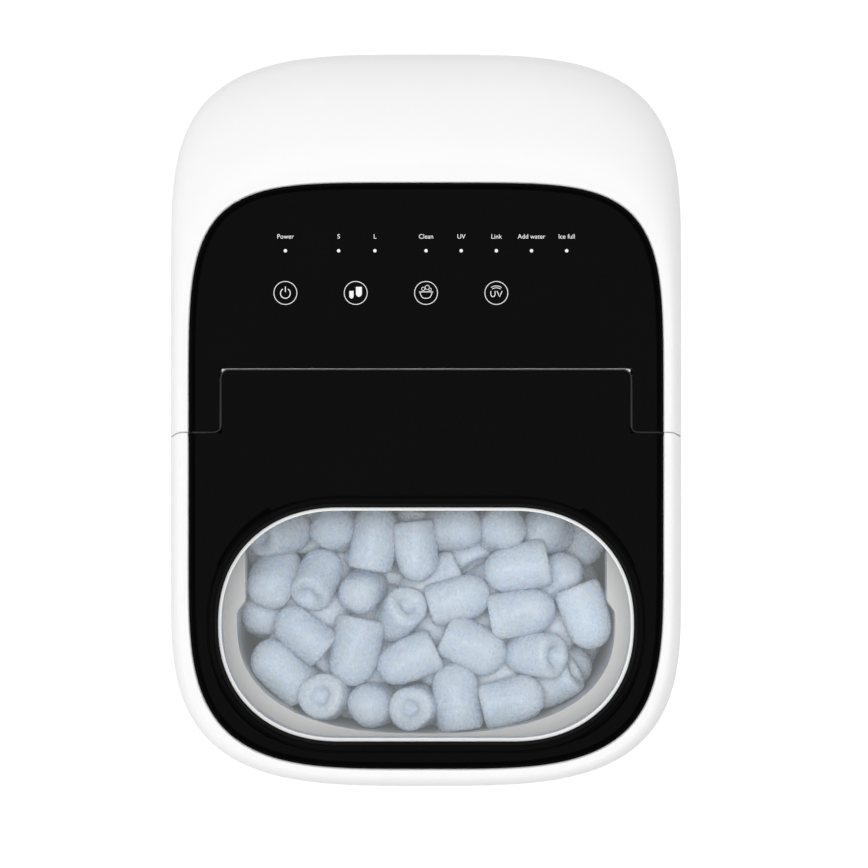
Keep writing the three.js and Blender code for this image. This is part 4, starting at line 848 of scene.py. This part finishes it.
# Painted seam line round the tab: grey for the edge highlight and the shade in the gap.
piece("tab_strip", new_mesh("tab_strip", *ribbon(tab_path, STRIP_WIDTH, LAID_LOW, LAID_HIGH)),
      strip_grey, "lid")
inner_turn = corner_arc(corner_x, SEAM_Y + TAB_CORNER, TAB_CORNER - STRIP_OFF, 270, 180)
side_path = np.concatenate([[[PANEL["half"] - STRIP_SHORT, SEAM_Y + STRIP_OFF]], inner_turn,
                            [[TAB_HALF + STRIP_OFF, tab_back - TAB_CORNER]]])
for side, name in ((-1, "seam_strip_left"), (1, "seam_strip_right")):
    strip = ribbon(side_path * [side, 1], STRIP_WIDTH, LAID_LOW, LAID_HIGH)
    piece(name, new_mesh(name, *strip), strip_grey, "root")

# %% [markdown]
# ## Window and bezel
# The window is a flat clear plate with softened edges, and a thin black bezel runs round it, nearly
# flush. A black sheet lies under the bezel as painted shade, so the fine gaps on each side of it look
# black, as shade in a narrow gap does.

# %% Window, bezel and the black sheet of painted gap shade
turns = np.linspace(0, 2 * np.pi, 480, endpoint=False)


def ring_at(shape, centre_y, drawn_in, height):
    """One ring of points: the outline drawn in by a distance, at a height."""
    return np.column_stack([edge(inset(shape, drawn_in), turns, centre_y), np.full(len(turns), height)])


def rings_at(shape, centre_y, steps):
    """Rays by rings of points, one ring for each step (drawn in, height)."""
    return np.stack([ring_at(shape, centre_y, *step) for step in steps], axis=1)


def capped_mesh(name, rings, crease=35.0):
    """A closed solid through rings of points, with a fan of quads at each end."""
    middle = [np.broadcast_to(rings[:, i].mean(axis=0), rings[:, i].shape) for i in (0, -1)]
    grid = np.stack([middle[0], *np.moveaxis(rings, 1, 0), middle[1]], axis=1)
    here = np.arange(grid.shape[0] * grid.shape[1]).reshape(grid.shape[:2])
    ahead = np.roll(here, -1, axis=0)
    faces = np.stack([here[:, :-1], ahead[:, :-1], ahead[:, 1:], here[:, 1:]], -1)
    mesh = new_mesh(name, grid, faces, crease)
    merge_doubles(mesh)
    return mesh


glass_bottom, glass_top = glass_low[2], glass_high[2]
rim_step = 0.3 * MM
window_rings = rings_at(WINDOW, WINDOW_Y, [
    (GAP + rim_step, glass_bottom), (GAP, glass_bottom + rim_step), (GAP, glass_top - rim_step),
    (GAP + rim_step, glass_top), (GAP + 8 * rim_step, glass_top)])
piece("window_plate", capped_mesh("window_plate", window_rings), window_clear, "lid",
      ["lid_window"])

bezel_across = np.linspace(0, 1, 9)
BEZEL_SUNK, BEZEL_CROWN = 0.14 * MM, 0.12 * MM
bezel_rise = BEZEL_CROWN * (1 - np.abs(2 * bezel_across - 1) ** 6)
bezel_grid = rings_at(WINDOW, WINDOW_Y, [(-BEZEL_WIDTH * share, PANEL_TOP - BEZEL_SUNK + rise)
                                         for share, rise in zip(bezel_across, bezel_rise)])
bezel_under = bezel_grid.copy()
bezel_under[..., 2] = PANEL_BOTTOM
piece("bezel_ring", wall_mesh("bezel_ring", bezel_grid, bezel_under, wrap=True), bezel_black, "lid",
      ["window_bezel"])

# A black sheet under the bezel: painted shade for the fine gaps beside the bezel.
GAP_SHADE_OUT = BEZEL_WIDTH + 3 * MM
gap_shade_faces = [rings_at(WINDOW, WINDOW_Y, [(0.0, z), (-GAP_SHADE_OUT, z)]) for z in (LAID_HIGH, LAID_LOW)]
piece("panel_bed", wall_mesh("panel_bed", *gap_shade_faces, wrap=True), black_gloss, "lid")

# %% [markdown]
# ## Liner of the lid
# Under the black top the lid is lined with a white plate, and a collar rises from its opening to the
# window. Both are one ring whose section is an L, so the inner face of the wall is the collar and the
# opening, and the outer face is the far side of both. The plate stops in front of the hinge.

# %% Liner
LINER_INSET, COLLAR_OUT = 3.1 * MM, -1.0 * MM
liner_low, liner_high = corners("lid_liner")


def ring_before(shape, drawn_in, height, back):
    """A ring round the window's middle that a line across the machine cuts short."""
    points = ring_at(shape, WINDOW_Y, drawn_in, height)
    reach = np.where(np.sin(turns) > 0, (back - WINDOW_Y) / np.maximum(np.sin(turns), 1e-9), np.inf)
    far = np.hypot(points[:, 0], points[:, 1] - WINDOW_Y)
    points[:, 0] *= np.minimum(1, reach / far)
    points[:, 1] = WINDOW_Y + (points[:, 1] - WINDOW_Y) * np.minimum(1, reach / far)
    return points


liner_outer = np.stack([ring_at(WINDOW, WINDOW_Y, COLLAR_OUT, liner_high[2]),
                        ring_at(WINDOW, WINDOW_Y, COLLAR_OUT, liner_low[2] + WALL),
                        ring_before(BODY, LINER_INSET, liner_low[2] + WALL, liner_high[1])], axis=1)
liner_inner = np.stack([ring_at(WINDOW, WINDOW_Y, LEDGE, liner_high[2]),
                        ring_at(WINDOW, WINDOW_Y, LEDGE, liner_low[2]),
                        ring_before(BODY, LINER_INSET, liner_low[2], liner_high[1])], axis=1)
piece("liner", wall_mesh("liner", liner_outer, liner_inner, wrap=True), white_liner, "lid",
      ["lid_liner"], bevel=0.3 * MM)

# %% [markdown]
# ## Tab and knuckles
# The rear of the lid is a tab that turns down round the hinge axis, so its edge is an arc and never
# meets the fixed top. A knuckle at each end of it runs on a pin.

# %% Tab wall and knuckles
KNUCKLE_RADIUS, BORE_RADIUS, KNUCKLE_LENGTH = 4.5 * MM, 1.9 * MM, 12 * MM
TAB_SIDE = TAB_HALF - SEAM / 2


def arc_wall(name, radii, angles, half, material, body, replaces=()):
    """A wall bent round the hinge axis, from one side to the other, between two radii."""
    across, turn = np.meshgrid(np.linspace(-half, half, 40), angles, indexing="ij")
    faces = [np.dstack([across, AXIS_Y + radius * np.cos(turn), AXIS_Z + radius * np.sin(turn)])
             for radius in radii]
    return piece(name, wall_mesh(name, *faces), material, body, replaces, bevel=0.2 * MM)


tab_radius = HINGE_RADIUS - SEAM / 2
tab_angles = np.arcsin(np.linspace(-WALL / tab_radius, (DECK_TOP - AXIS_Z) / tab_radius, 14))
arc_wall("tab_wall", (tab_radius, tab_radius - WALL), tab_angles, TAB_SIDE, white_shell, "lid",
         ["lid_shell"])
for side in (-1, 1):
    ends = sorted((side * TAB_SIDE, side * (TAB_SIDE - KNUCKLE_LENGTH)))
    sleeve = [(BORE_RADIUS, ends[0]), (KNUCKLE_RADIUS, ends[0]),
              (KNUCKLE_RADIUS, ends[1]), (BORE_RADIUS, ends[1])]
    name = "knuckle_left" if side < 0 else "knuckle_right"
    piece(name, turned_mesh(name, sleeve, (0, AXIS_Y, AXIS_Z), "x", 40), white_shell, "lid",
          ["lid_shell"], bevel=0.3 * MM)

# %% [markdown]
# ## Basket and tub
# A vessel is drawn as one sheet: it starts at the middle of the floor, spreads to the corner, turns up
# a quarter round and climbs the wall to the flange. Each step of the section says how far out it is,
# as a share of the outline or as a distance drawn in, and how high. The inner sheet is the same walk a
# wall thickness inside, and the two are closed into one body.

# %% Vessel sections
def vessel_sheet(shape, centre_y, angles, heights, drawn_in, taper, corner, lip):
    """Rays by section points of one face of a vessel, from the middle of the floor to the lip.

    Heights are those of the floor, the rim and the lip. The wall is drawn in by taper times the share
    of the depth below the rim. The corner is a quarter circle: across goes as one less the sine, and
    up as one less the cosine.
    """
    floor, rim, lip_height = heights
    steps = []
    for turn in np.linspace(0, np.pi / 2, 9)[1:]:
        reach = drawn_in + taper + corner * (1 - math.sin(turn))
        steps.append((reach, floor + corner * (1 - math.cos(turn))))
    for z in np.linspace(floor + corner, lip_height, 26)[1:]:
        steps.append((drawn_in + taper * (rim - z) / (rim - floor), z))
    steps.append((-lip, lip_height))
    centre = np.array([0.0, centre_y])
    foot = edge(inset(shape, drawn_in + taper + corner), angles, centre_y)
    columns = [(centre + (foot - centre) * share, floor) for share in np.linspace(0, 1, 12)]
    columns += [(edge(inset(shape, reach), angles, centre_y), z) for reach, z in steps]
    return np.stack([np.column_stack([xy, np.full(len(angles), z)]) for xy, z in columns], axis=1)


BASKET_WALL, BASKET_FLANGE, BASKET_TAPER, BASKET_CORNER = 2 * MM, 5.5 * MM, 5 * MM, 8 * MM
GRIP_FRONT, GRIP_BACK, GRIP_DEEP, GRIP_FADE, GRIP_FULL = (length * MM for length in (-90, -60, 4, 40, 18))
ENTRY_HALF, ENTRY_DROP = 68 * MM, 56 * MM
basket_low, basket_high = corners("ice_basket")
BASKET = outline(basket_high[0] - BASKET_FLANGE, basket_low[1] + BASKET_FLANGE,
                 basket_high[1] - BASKET_FLANGE, 56 * MM, 24 * MM, 2.5, 4)
BASKET_Y = (BASKET["front"] + BASKET["rear"]) / 2
BASKET_RIM, BASKET_FLOOR = basket_high[2], basket_low[2]
entry_rays = np.arctan2(BASKET["rear"] - BASKET_Y, np.array([-ENTRY_HALF, ENTRY_HALF]))
basket_rays = with_levels(np.linspace(0, 2 * np.pi, 420, endpoint=False), entry_rays)
basket_heights = np.array([BASKET_FLOOR, BASKET_RIM, BASKET_RIM - BASKET_WALL])
basket_outer = vessel_sheet(BASKET, BASKET_Y, basket_rays, basket_heights, 0.0, BASKET_TAPER,
                            BASKET_CORNER, BASKET_FLANGE)
basket_inner = vessel_sheet(BASKET, BASKET_Y, basket_rays, basket_heights + [BASKET_WALL, 0, BASKET_WALL],
                            BASKET_WALL, BASKET_TAPER, BASKET_CORNER - BASKET_WALL, BASKET_FLANGE)


def grip_bulge(points):
    """How far the wall leans in at the finger pockets: a rounded hump along y that fades downwards."""
    x, y, z = (points[..., i] for i in range(3))
    along = smoothstep(GRIP_FRONT - 3 * MM, GRIP_FRONT + 5 * MM, y)
    along *= 1 - smoothstep(GRIP_BACK - 5 * MM, GRIP_BACK + 3 * MM, y)
    up = smoothstep(BASKET_RIM - GRIP_FADE, BASKET_RIM - GRIP_FULL, z)
    return GRIP_DEEP * along * up * (np.abs(x) > BASKET["half"] / 2)


for face in (basket_outer[:, :-1], basket_inner[:, :-1]):
    face[..., 0] -= np.sign(face[..., 0]) * grip_bulge(face)
ray_middle = (basket_rays + np.roll(basket_rays, -1)) / 2
ray_middle[-1] = basket_rays[-1] + 1e-3
in_entry = (ray_middle > entry_rays[1]) & (ray_middle < entry_rays[0])
above_sill = basket_inner[0, :-1, 2] > BASKET_RIM - ENTRY_DROP
basket = piece("basket", wall_mesh("basket", basket_outer, basket_inner,
                                   ~(in_entry[:, None] & above_sill[None, :]), wrap=True),
               basket_plastic, "basket", ["ice_basket"], bevel=0.35 * MM)
merge_doubles(basket.data)

TUB_FLANGE, TUB_INSET, TUB_CORNER = 6 * MM, 12 * MM, 10 * MM
NOTCH_HALF, NOTCH_DROP = 82 * MM, 29.5 * MM
tub_low, tub_high = corners("water_tub")
TUB = inset(BODY, TUB_INSET)
TUB_Y = (TUB["front"] + tub_high[1]) / 2
tub_rays = np.linspace(0, 2 * np.pi, 420, endpoint=False)
tub_heights = np.array([tub_low[2], tub_high[2], tub_high[2] - WALL])
tub_outer = vessel_sheet(TUB, TUB_Y, tub_rays, tub_heights, 0.0, 0.0, TUB_CORNER, TUB_INSET - TUB_FLANGE)
tub_inner = vessel_sheet(TUB, TUB_Y, tub_rays, tub_heights + [WALL, 0, WALL], WALL, 0.0, TUB_CORNER - WALL,
                         TUB_INSET - TUB_FLANGE)
tub_outer[..., 1] = np.minimum(tub_outer[..., 1], tub_high[1])
tub_inner[..., 1] = np.minimum(tub_inner[..., 1], tub_high[1] - WALL)
cell = (tub_inner[:, 1:] + tub_inner[:, :-1]) / 2
in_notch = (np.abs(cell[..., 0]) < NOTCH_HALF) & (cell[..., 2] > tub_high[2] - NOTCH_DROP)
in_notch &= cell[..., 1] > tub_high[1] - 2 * WALL
tub = piece("tub", wall_mesh("tub", tub_outer, tub_inner, ~in_notch, wrap=True), tub_plastic, "root",
            ["water_tub"], bevel=0.3 * MM)
merge_doubles(tub.data)

# %% [markdown]
# ## Bullet ice
# The machine freezes water onto fingers, so each piece of ice is a short bullet: a flat end with a
# dimple where the finger was, a straight side and a round nose. The heap is packed by pushing. Each
# bullet is two balls on a stick, balls that overlap push apart, walls push in and a little weight
# pulls down. After enough rounds the bullets rest against each other at every angle.

# %% Packing the heap
BULLET_RADIUS, BULLET_LENGTH = 11.75 * MM, 33 * MM
BALL_RADIUS, STICK = 11.2 * MM, 5.3 * MM
HEAP_FLOOR, HEAP_TOP = 186 * MM, BASKET_RIM - 4.5 * MM
HEAP_COUNT, EASE, SINK = 92, 0.3, 0.25 * MM
rng = np.random.default_rng(41)


def pack_bullets(count, rounds=420):
    """Places and directions of bullets in the basket, relaxed from a seeded scatter."""
    half, front, back = 70 * MM, -135 * MM, -52 * MM
    place = np.column_stack([rng.uniform(-half, half, count), rng.uniform(front, back, count),
                             rng.uniform(HEAP_FLOOR + 15 * MM, HEAP_TOP, count)])
    along = rng.normal(size=(count, 3)) * [1, 1, 0.75]
    along /= np.linalg.norm(along, axis=1, keepdims=True)
    owner = np.repeat(np.arange(count), 2)
    room = inset(BASKET, BASKET_WALL + BALL_RADIUS)
    for step in range(rounds):
        balls = np.stack([place - along * STICK, place + along * STICK], axis=1).reshape(-1, 3)
        offset = balls[:, None] - balls[None]
        apart = np.linalg.norm(offset, axis=2) + 1e-9
        overlap = np.clip(2 * BALL_RADIUS - apart, 0, None) * (owner[:, None] != owner[None])
        push = (offset / apart[..., None] * overlap[..., None]).sum(axis=1) * EASE
        push[:, 2] -= SINK * (1 - step / rounds)
        moved = balls + push
        narrow = BASKET_TAPER * (BASKET_RIM - moved[:, 2]) / (BASKET_RIM - BASKET_FLOOR)
        bulge = GRIP_DEEP * ((moved[:, 1] > GRIP_FRONT) & (moved[:, 1] < GRIP_BACK))
        short = np.clip(narrow + bulge - depth_inside(room, moved[:, 0], moved[:, 1]), 0, 20 * MM)
        inward = np.column_stack([-moved[:, 0], WINDOW_Y + 5 * MM - moved[:, 1]])
        inward /= np.linalg.norm(inward, axis=1, keepdims=True) + 1e-9
        moved[:, :2] += inward * short[:, None]
        moved[:, 2] = np.clip(moved[:, 2], HEAP_FLOOR + BALL_RADIUS, HEAP_TOP - BALL_RADIUS)
        pair = moved.reshape(-1, 2, 3)
        place = pair.mean(axis=1)
        along = pair[:, 1] - pair[:, 0]
        along /= np.linalg.norm(along, axis=1, keepdims=True) + 1e-9
    return place, along


def bullet_profile():
    """Radius and height of a bullet from the dimple round the nose; the length runs from 0 to 1."""
    dimple = [(0.0, 0.16), (0.2, 0.15), (0.34, 0.1), (0.42, 0.03), (0.55, 0.0), (0.82, 0.0)]
    side = [(0.95, 0.03), (1.0, 0.1), (1.0, 0.3), (0.99, 0.5), (0.96, 0.64)]
    nose = [(math.cos(t) * 0.95, 0.66 + math.sin(t) * 0.34) for t in np.linspace(0.12, np.pi / 2, 7)]
    return np.array(dimple + side + nose[:-1] + [(0.0, 1.0)])


def bullets_mesh(name, place, along, steps=26):
    """All the bullets in one mesh: a turned profile, carried to each place by its own three axes."""
    profile = bullet_profile()
    turn = np.linspace(0, 2 * np.pi, steps, endpoint=False)
    count, rows = len(place), len(profile)
    side = np.cross(along, np.where(np.abs(along[:, 2:]) < 0.9, [[0.0, 0, 1]], [[1.0, 0, 0]]))
    side /= np.linalg.norm(side, axis=1, keepdims=True)
    third = np.cross(along, side)
    size = rng.uniform(0.88, 1.0, (count, 1, 1))
    wobble = np.ones((count, steps, rows))
    for folds, twist, strength in ((2, 3, 0.035), (3, -4, 0.03), (5, 6, 0.012)):
        phase = rng.uniform(0, 6, (count, 1, 1))
        wobble += strength * np.sin(folds * turn[None, :, None] + twist * profile[None, None, :, 1] + phase)
    radius = profile[None, None, :, 0] * BULLET_RADIUS * size * wobble
    level = (profile[None, None, :, 1] - 0.48) * BULLET_LENGTH * size * np.ones((1, steps, 1))
    around = np.cos(turn)[:, None] * side[:, None] + np.sin(turn)[:, None] * third[:, None]
    points = place[:, None, None] + radius[..., None] * around[:, :, None]
    points = points + level[..., None] * along[:, None, None]
    here = np.arange(count * steps * rows).reshape(count, steps, rows)
    ahead = np.roll(here, -1, axis=1)
    faces = np.stack([here[..., :-1], ahead[..., :-1], ahead[..., 1:], here[..., 1:]], -1)
    mesh = new_mesh(name, points, faces, 60.0)
    merge_doubles(mesh)
    return mesh


place, along = pack_bullets(HEAP_COUNT)
piece("bullet_ice", bullets_mesh("bullet_ice", place, along), ice, "basket", ["ice_heap"])

# %% [markdown]
# ## Base and feet
# The base pan closes the bottom, and four turned rubber feet carry the machine. Their soles have
# three low rings, so they grip.

# %% Base pan and feet
pan_low, pan_high = corners("base_pan")
pan_step = 0.6 * MM
pan_rings = rings_at(BODY, 0.0, [(FOOT_ROLL + pan_step, pan_low[2]), (FOOT_ROLL, pan_low[2] + pan_step),
                                 (FOOT_ROLL, pan_high[2] - pan_step), (FOOT_ROLL + pan_step, pan_high[2])])
piece("base", capped_mesh("base", pan_rings), grey_trim, "root", ["base_pan"])


FOOT_EASE, FOOT_EDGE = 2 * MM, 0.4 * MM


def foot_profile(radius, top):
    """A closed profile from the axis round the sole, with three ring grooves, and back to the axis."""
    sole = [(0.0, 0.0)]
    for place in (0.25, 0.45, 0.65):
        groove = place * radius
        sole += [(groove + across * MM, up * MM) for across, up in ((0, 0), (0.3, 0.8), (1.1, 0.8), (1.4, 0))]
    rounded = [(radius - FOOT_EASE * (1 - math.sin(t)), FOOT_EASE * (1 - math.cos(t)))
               for t in np.linspace(0, np.pi / 2, 7)]
    return sole + rounded + [(radius, top - FOOT_EDGE), (radius - FOOT_EDGE, top), (0.0, top)]


for number in range(1, 5):
    low, high = corners(f"foot_{number}")
    profile = foot_profile((high[0] - low[0]) / 2, high[2])
    middle = ((low[0] + high[0]) / 2, (low[1] + high[1]) / 2, 0)
    mesh = turned_mesh(f"rubber_foot_{number}", profile, middle, "z", 64)
    piece(f"rubber_foot_{number}", mesh, rubber, "root", [f"foot_{number}"])

# %% [markdown]
# ## Print on the panel
# The touch keys are printed on the black top in thin white ink: eight status dots with small generic
# words behind them, and four ringed symbols in front. A line of print is a ribbon: a path of points,
# a width at each, and a skin a few hundredths of a millimetre thick.

# %% Ribbons and words
PRINT_LOW, PRINT_HIGH = PANEL_TOP - 0.01 * MM, PANEL_TOP + 0.03 * MM


def circle(x, y, radius, start=0.0, stop=2 * math.pi, steps=64):
    """Points along an arc; a full turn leaves out the repeated last point."""
    full = stop - start > 2 * math.pi - 1e-6
    turn = np.linspace(start, stop, steps, endpoint=not full)
    return np.column_stack([x + radius * np.cos(turn), y + radius * np.sin(turn)])


def filled(x, y, width, height):
    """A filled key-cap shape as one stroke along its length: round at one end, blunt at the other."""
    along = np.linspace(0, 1, 15)
    widths = width * np.minimum(1, np.sqrt(np.clip(1 - (1 - np.minimum(along, 0.35) / 0.35) ** 2, 0.004, 1)))
    path = np.column_stack([np.full(15, x), y - height / 2 + height * along])
    return path, widths


def printed(name, strokes):
    """All the strokes of one symbol as a single piece of ink on the fixed top."""
    points, faces, count = [], [], 0
    for path, width, closed in strokes:
        stroke_points, stroke_faces = ribbon(path, width, PRINT_LOW, PRINT_HIGH, closed)
        points.append(stroke_points)
        faces.append(oriented(stroke_points, stroke_faces) + count)
        count += len(stroke_points)
    mesh = new_mesh(name, np.concatenate(points), np.concatenate(faces), 30.0)
    return piece(name, mesh, ink, "root")


def oriented(points, faces):
    """The same quads, turned over if they face inwards."""
    return faces if signed_volume(points, faces) > 0 else faces[:, ::-1]


LINE = 0.32 * MM
RING_RADIUS = 5.55 * MM - LINE / 2
ICON_Y, DOT_Y, WORD_Y = 59.2 * MM, 79.0 * MM, 85.6 * MM


def ring_round(x):
    """The thin ring round a touch symbol."""
    return (circle(x, ICON_Y, RING_RADIUS), LINE, True)


THIN, FINE = 0.4 * MM, 0.35 * MM
x = -66 * MM
power = circle(x, ICON_Y - 0.2 * MM, 2.3 * MM, math.radians(120), math.radians(420))
bar = np.array([(0, 3.0), (0, 1.6), (0, 0.4)]) * MM + [x, ICON_Y]
printed("print_power", [ring_round(x), (power, THIN, False), (bar, THIN, False)])

x = -33 * MM
small = filled(x - 2.0 * MM, ICON_Y - 0.85 * MM, 2.0 * MM, 3.6 * MM)
large = filled(x + 1.5 * MM, ICON_Y + 0.5 * MM, 2.8 * MM, 4.7 * MM)
printed("print_size", [ring_round(x), (*small, False), (*large, False)])

left_side = np.array([(-2.9, 0.5), (-2.5, -1.0), (-1.8, -2.1), (-0.8, -2.5)])
tub_path = np.concatenate([left_side, left_side[::-1] * [-1, 1]]) * MM + [0, ICON_Y]
rim_path = np.array([(-3.3, 0.5), (0, 0.5), (3.3, 0.5)]) * MM + [0, ICON_Y]
bubbles = [(circle(bx * MM, ICON_Y + by * MM, br * MM, steps=24), 0.25 * MM, True)
           for bx, by, br in ((-1.3, 1.9, 0.8), (0.6, 2.6, 1.0), (1.9, 1.6, 0.6))]
printed("print_clean", [ring_round(0.0), (tub_path, FINE, False), (rim_path, FINE, False), *bubbles])

x = 33 * MM
letter_u = np.array([(-2.6, 1.3), (-2.6, -0.4), (-2.3, -1.1), (-1.6, -1.4), (-0.9, -1.1), (-0.6, -0.4),
                     (-0.6, 1.3)])
letter_v = np.array([(0.3, 1.3), (0.95, -0.2), (1.5, -1.4), (2.05, -0.2), (2.7, 1.3)])
arcs = [(circle(x, ICON_Y - 1.0 * MM, radius * MM, math.radians(55), math.radians(125), 12), 0.3 * MM, False)
        for radius in (3.4, 4.3)]
printed("print_uv", [ring_round(x), (letter_u * MM + [x, ICON_Y - 0.4 * MM], 0.36 * MM, False),
                     (letter_v * MM + [x, ICON_Y - 0.4 * MM], 0.36 * MM, False), *arcs])


def printed_word(name, text, x, y, height):
    """A short generic word from the built-in font, extruded and turned into a mesh."""
    curve = bpy.data.curves.new(name, "FONT")
    curve.body = text
    curve.size = height / 0.7
    curve.align_x, curve.align_y = "CENTER", "CENTER"
    curve.extrude = (PRINT_HIGH - PRINT_LOW) / 2
    maker = bpy.data.objects.new(name + "_curve", curve)
    bpy.context.scene.collection.objects.link(maker)
    maker.location = (x, y, (PRINT_HIGH + PRINT_LOW) / 2)
    bpy.context.view_layer.update()
    shown = maker.evaluated_get(bpy.context.evaluated_depsgraph_get())
    mesh = bpy.data.meshes.new_from_object(shown)
    mesh.transform(maker.matrix_world)
    bpy.data.objects.remove(maker)
    mesh.name = name
    mesh.materials.clear()
    merge_doubles(mesh, 1e-7)
    return piece(name, mesh, ink, "root")


words = (("Power", -66), ("S", -41), ("L", -24), ("Clean", 0), ("UV", 16.5), ("Link", 33),
         ("Add water", 49.5), ("Ice full", 66))
for text, x in words:
    printed_word("print_" + text.lower().replace(" ", "_") + "_word", text, x * MM, WORD_Y, 2.1 * MM)
dots = [(circle(x * MM, DOT_Y, 0.4 * MM, steps=24), 0.79 * MM, True) for _, x in words]
printed("print_dots", dots)

# %% [markdown]
# ## The working parts
# The hidden parts keep their drawn shapes: tank fittings, tray, evaporator, compressor, fan, boards and
# hinge. Each gets its finish by putting a material in its slot, and its mesh is left alone.

# %% Finishes of the carried-over parts
carried = {
    black_mould: "hinge_trough power_inlet tray_motor water_pump ice_sensor_left ice_sensor_right fan_shroud",
    grey_trim: "hinge_bracket_left hinge_bracket_right drain_fitting ice_shovel tray_bearing_left "
               "tray_bearing_right fan_rotor",
    steel: "hinge_pin_left hinge_pin_right base_screw_1 base_screw_2 base_screw_3 base_screw_4 fan_motor "
           "fan_bracket",
    rubber: "lid_seal drain_plug compressor_mount_1 compressor_mount_2 compressor_mount_3",
    foam: "foam_base foam_jacket",
    tub_plastic: "water_tray ice_chute water_tube",
    plated_copper: "evaporator",
    lamp_clear: "uv_lamp",
    enamel: "compressor",
    fin_metal: "condenser",
    board_green: "control_board power_board",
}
for finish, names in carried.items():
    for name in names.split():
        frame["nodes"][name].material_slots[0].material = finish
print("carried over:", sum(len(names.split()) for names in carried.values()), "parts")

# %% [markdown]
# ## Studio
# The machine stands on a plain pale floor that goes on past the view. The view is straight down with a
# long lens, so nearly nothing of the sides shows. The floor glows a little, as a light table does, so
# the machine's shadow is lost in it. The sky is a soft lamp overhead, a dark ring round it, and pale
# walls below that: the gloss shows the dark ring wherever it tips. A wide sun lights the tops, and a
# lower one from the left shades the shell; both are kept out of the gloss.

# %% Floor, light and camera
floor_mesh = bpy.data.meshes.new("floor")
reach_out = 6.0
floor_mesh.from_pydata([(-reach_out, -reach_out, 0), (reach_out, -reach_out, 0), (reach_out, reach_out, 0),
                        (-reach_out, reach_out, 0)], [], [(0, 1, 2, 3)])
floor = bpy.data.objects.new("floor", floor_mesh)
bpy.context.scene.collection.objects.link(floor)
light_table = finish_of("light_table", (0.06, 0.06, 0.06), (0.08, 0.08, 0.08), (0.85, 0.95), 0.0, 10, 2,
                        specular=0.0)
light_table.node_tree.nodes["Principled BSDF"].inputs["Emission Color"].default_value = (1, 1, 1, 1)
light_table.node_tree.nodes["Principled BSDF"].inputs["Emission Strength"].default_value = 1.0
floor_mesh.materials.append(light_table)


def sun(name, towards, strength, spread):
    """A far lamp whose light travels along a direction, left out of mirror-like reflections."""
    lamp = bpy.data.lights.new(name, "SUN")
    lamp.energy = strength
    lamp.angle = math.radians(spread)
    obj = bpy.data.objects.new(name, lamp)
    obj.rotation_euler = Vector(towards).to_track_quat("-Z", "Y").to_euler()
    obj.visible_glossy = False
    bpy.context.scene.collection.objects.link(obj)
    return obj


sun("overhead", (0.0, -0.03, -1), 2.75, 30)
sun("front_left", (0.9, 0.3, -0.75), 0.5, 25)

world = bpy.data.worlds.new("studio")
world.use_nodes = True
sky = world.node_tree
direction = sky.nodes.new("ShaderNodeTexCoord").outputs["Generated"]
split = sky.nodes.new("ShaderNodeSeparateXYZ")
link(sky, direction, split.inputs["Vector"])
bands = sky.nodes.new("ShaderNodeValToRGB")
SKY_BANDS = ((0.0, 0.28), (0.55, 0.28), (0.74, 0.02), (0.93, 0.02), (0.985, 0.36), (1.0, 0.36))
for place, level in SKY_BANDS[1:-1]:
    bands.color_ramp.elements.new(place)
for element, (place, level) in zip(bands.color_ramp.elements, SKY_BANDS):
    element.position = place
    element.color = (level, level, level, 1)
link(sky, split.outputs["Z"], bands.inputs["Fac"])
link(sky, bands.outputs["Color"], sky.nodes["Background"].inputs["Color"])
bpy.context.scene.world = world
bpy.context.scene.view_settings.view_transform = "Standard"

FRAME_ACROSS = 0.4073
LENS_DISTANCE = 4.0
SENSOR = 36.0
camera_data = bpy.data.cameras.new("camera")
camera_data.sensor_width = SENSOR
camera_data.lens = SENSOR * LENS_DISTANCE / FRAME_ACROSS
camera_data.clip_end = 50
camera = bpy.data.objects.new("camera", camera_data)
camera.location = (3.74 * MM, -7.0 * MM, TOP + LENS_DISTANCE)
bpy.context.scene.collection.objects.link(camera)
bpy.context.scene.camera = camera
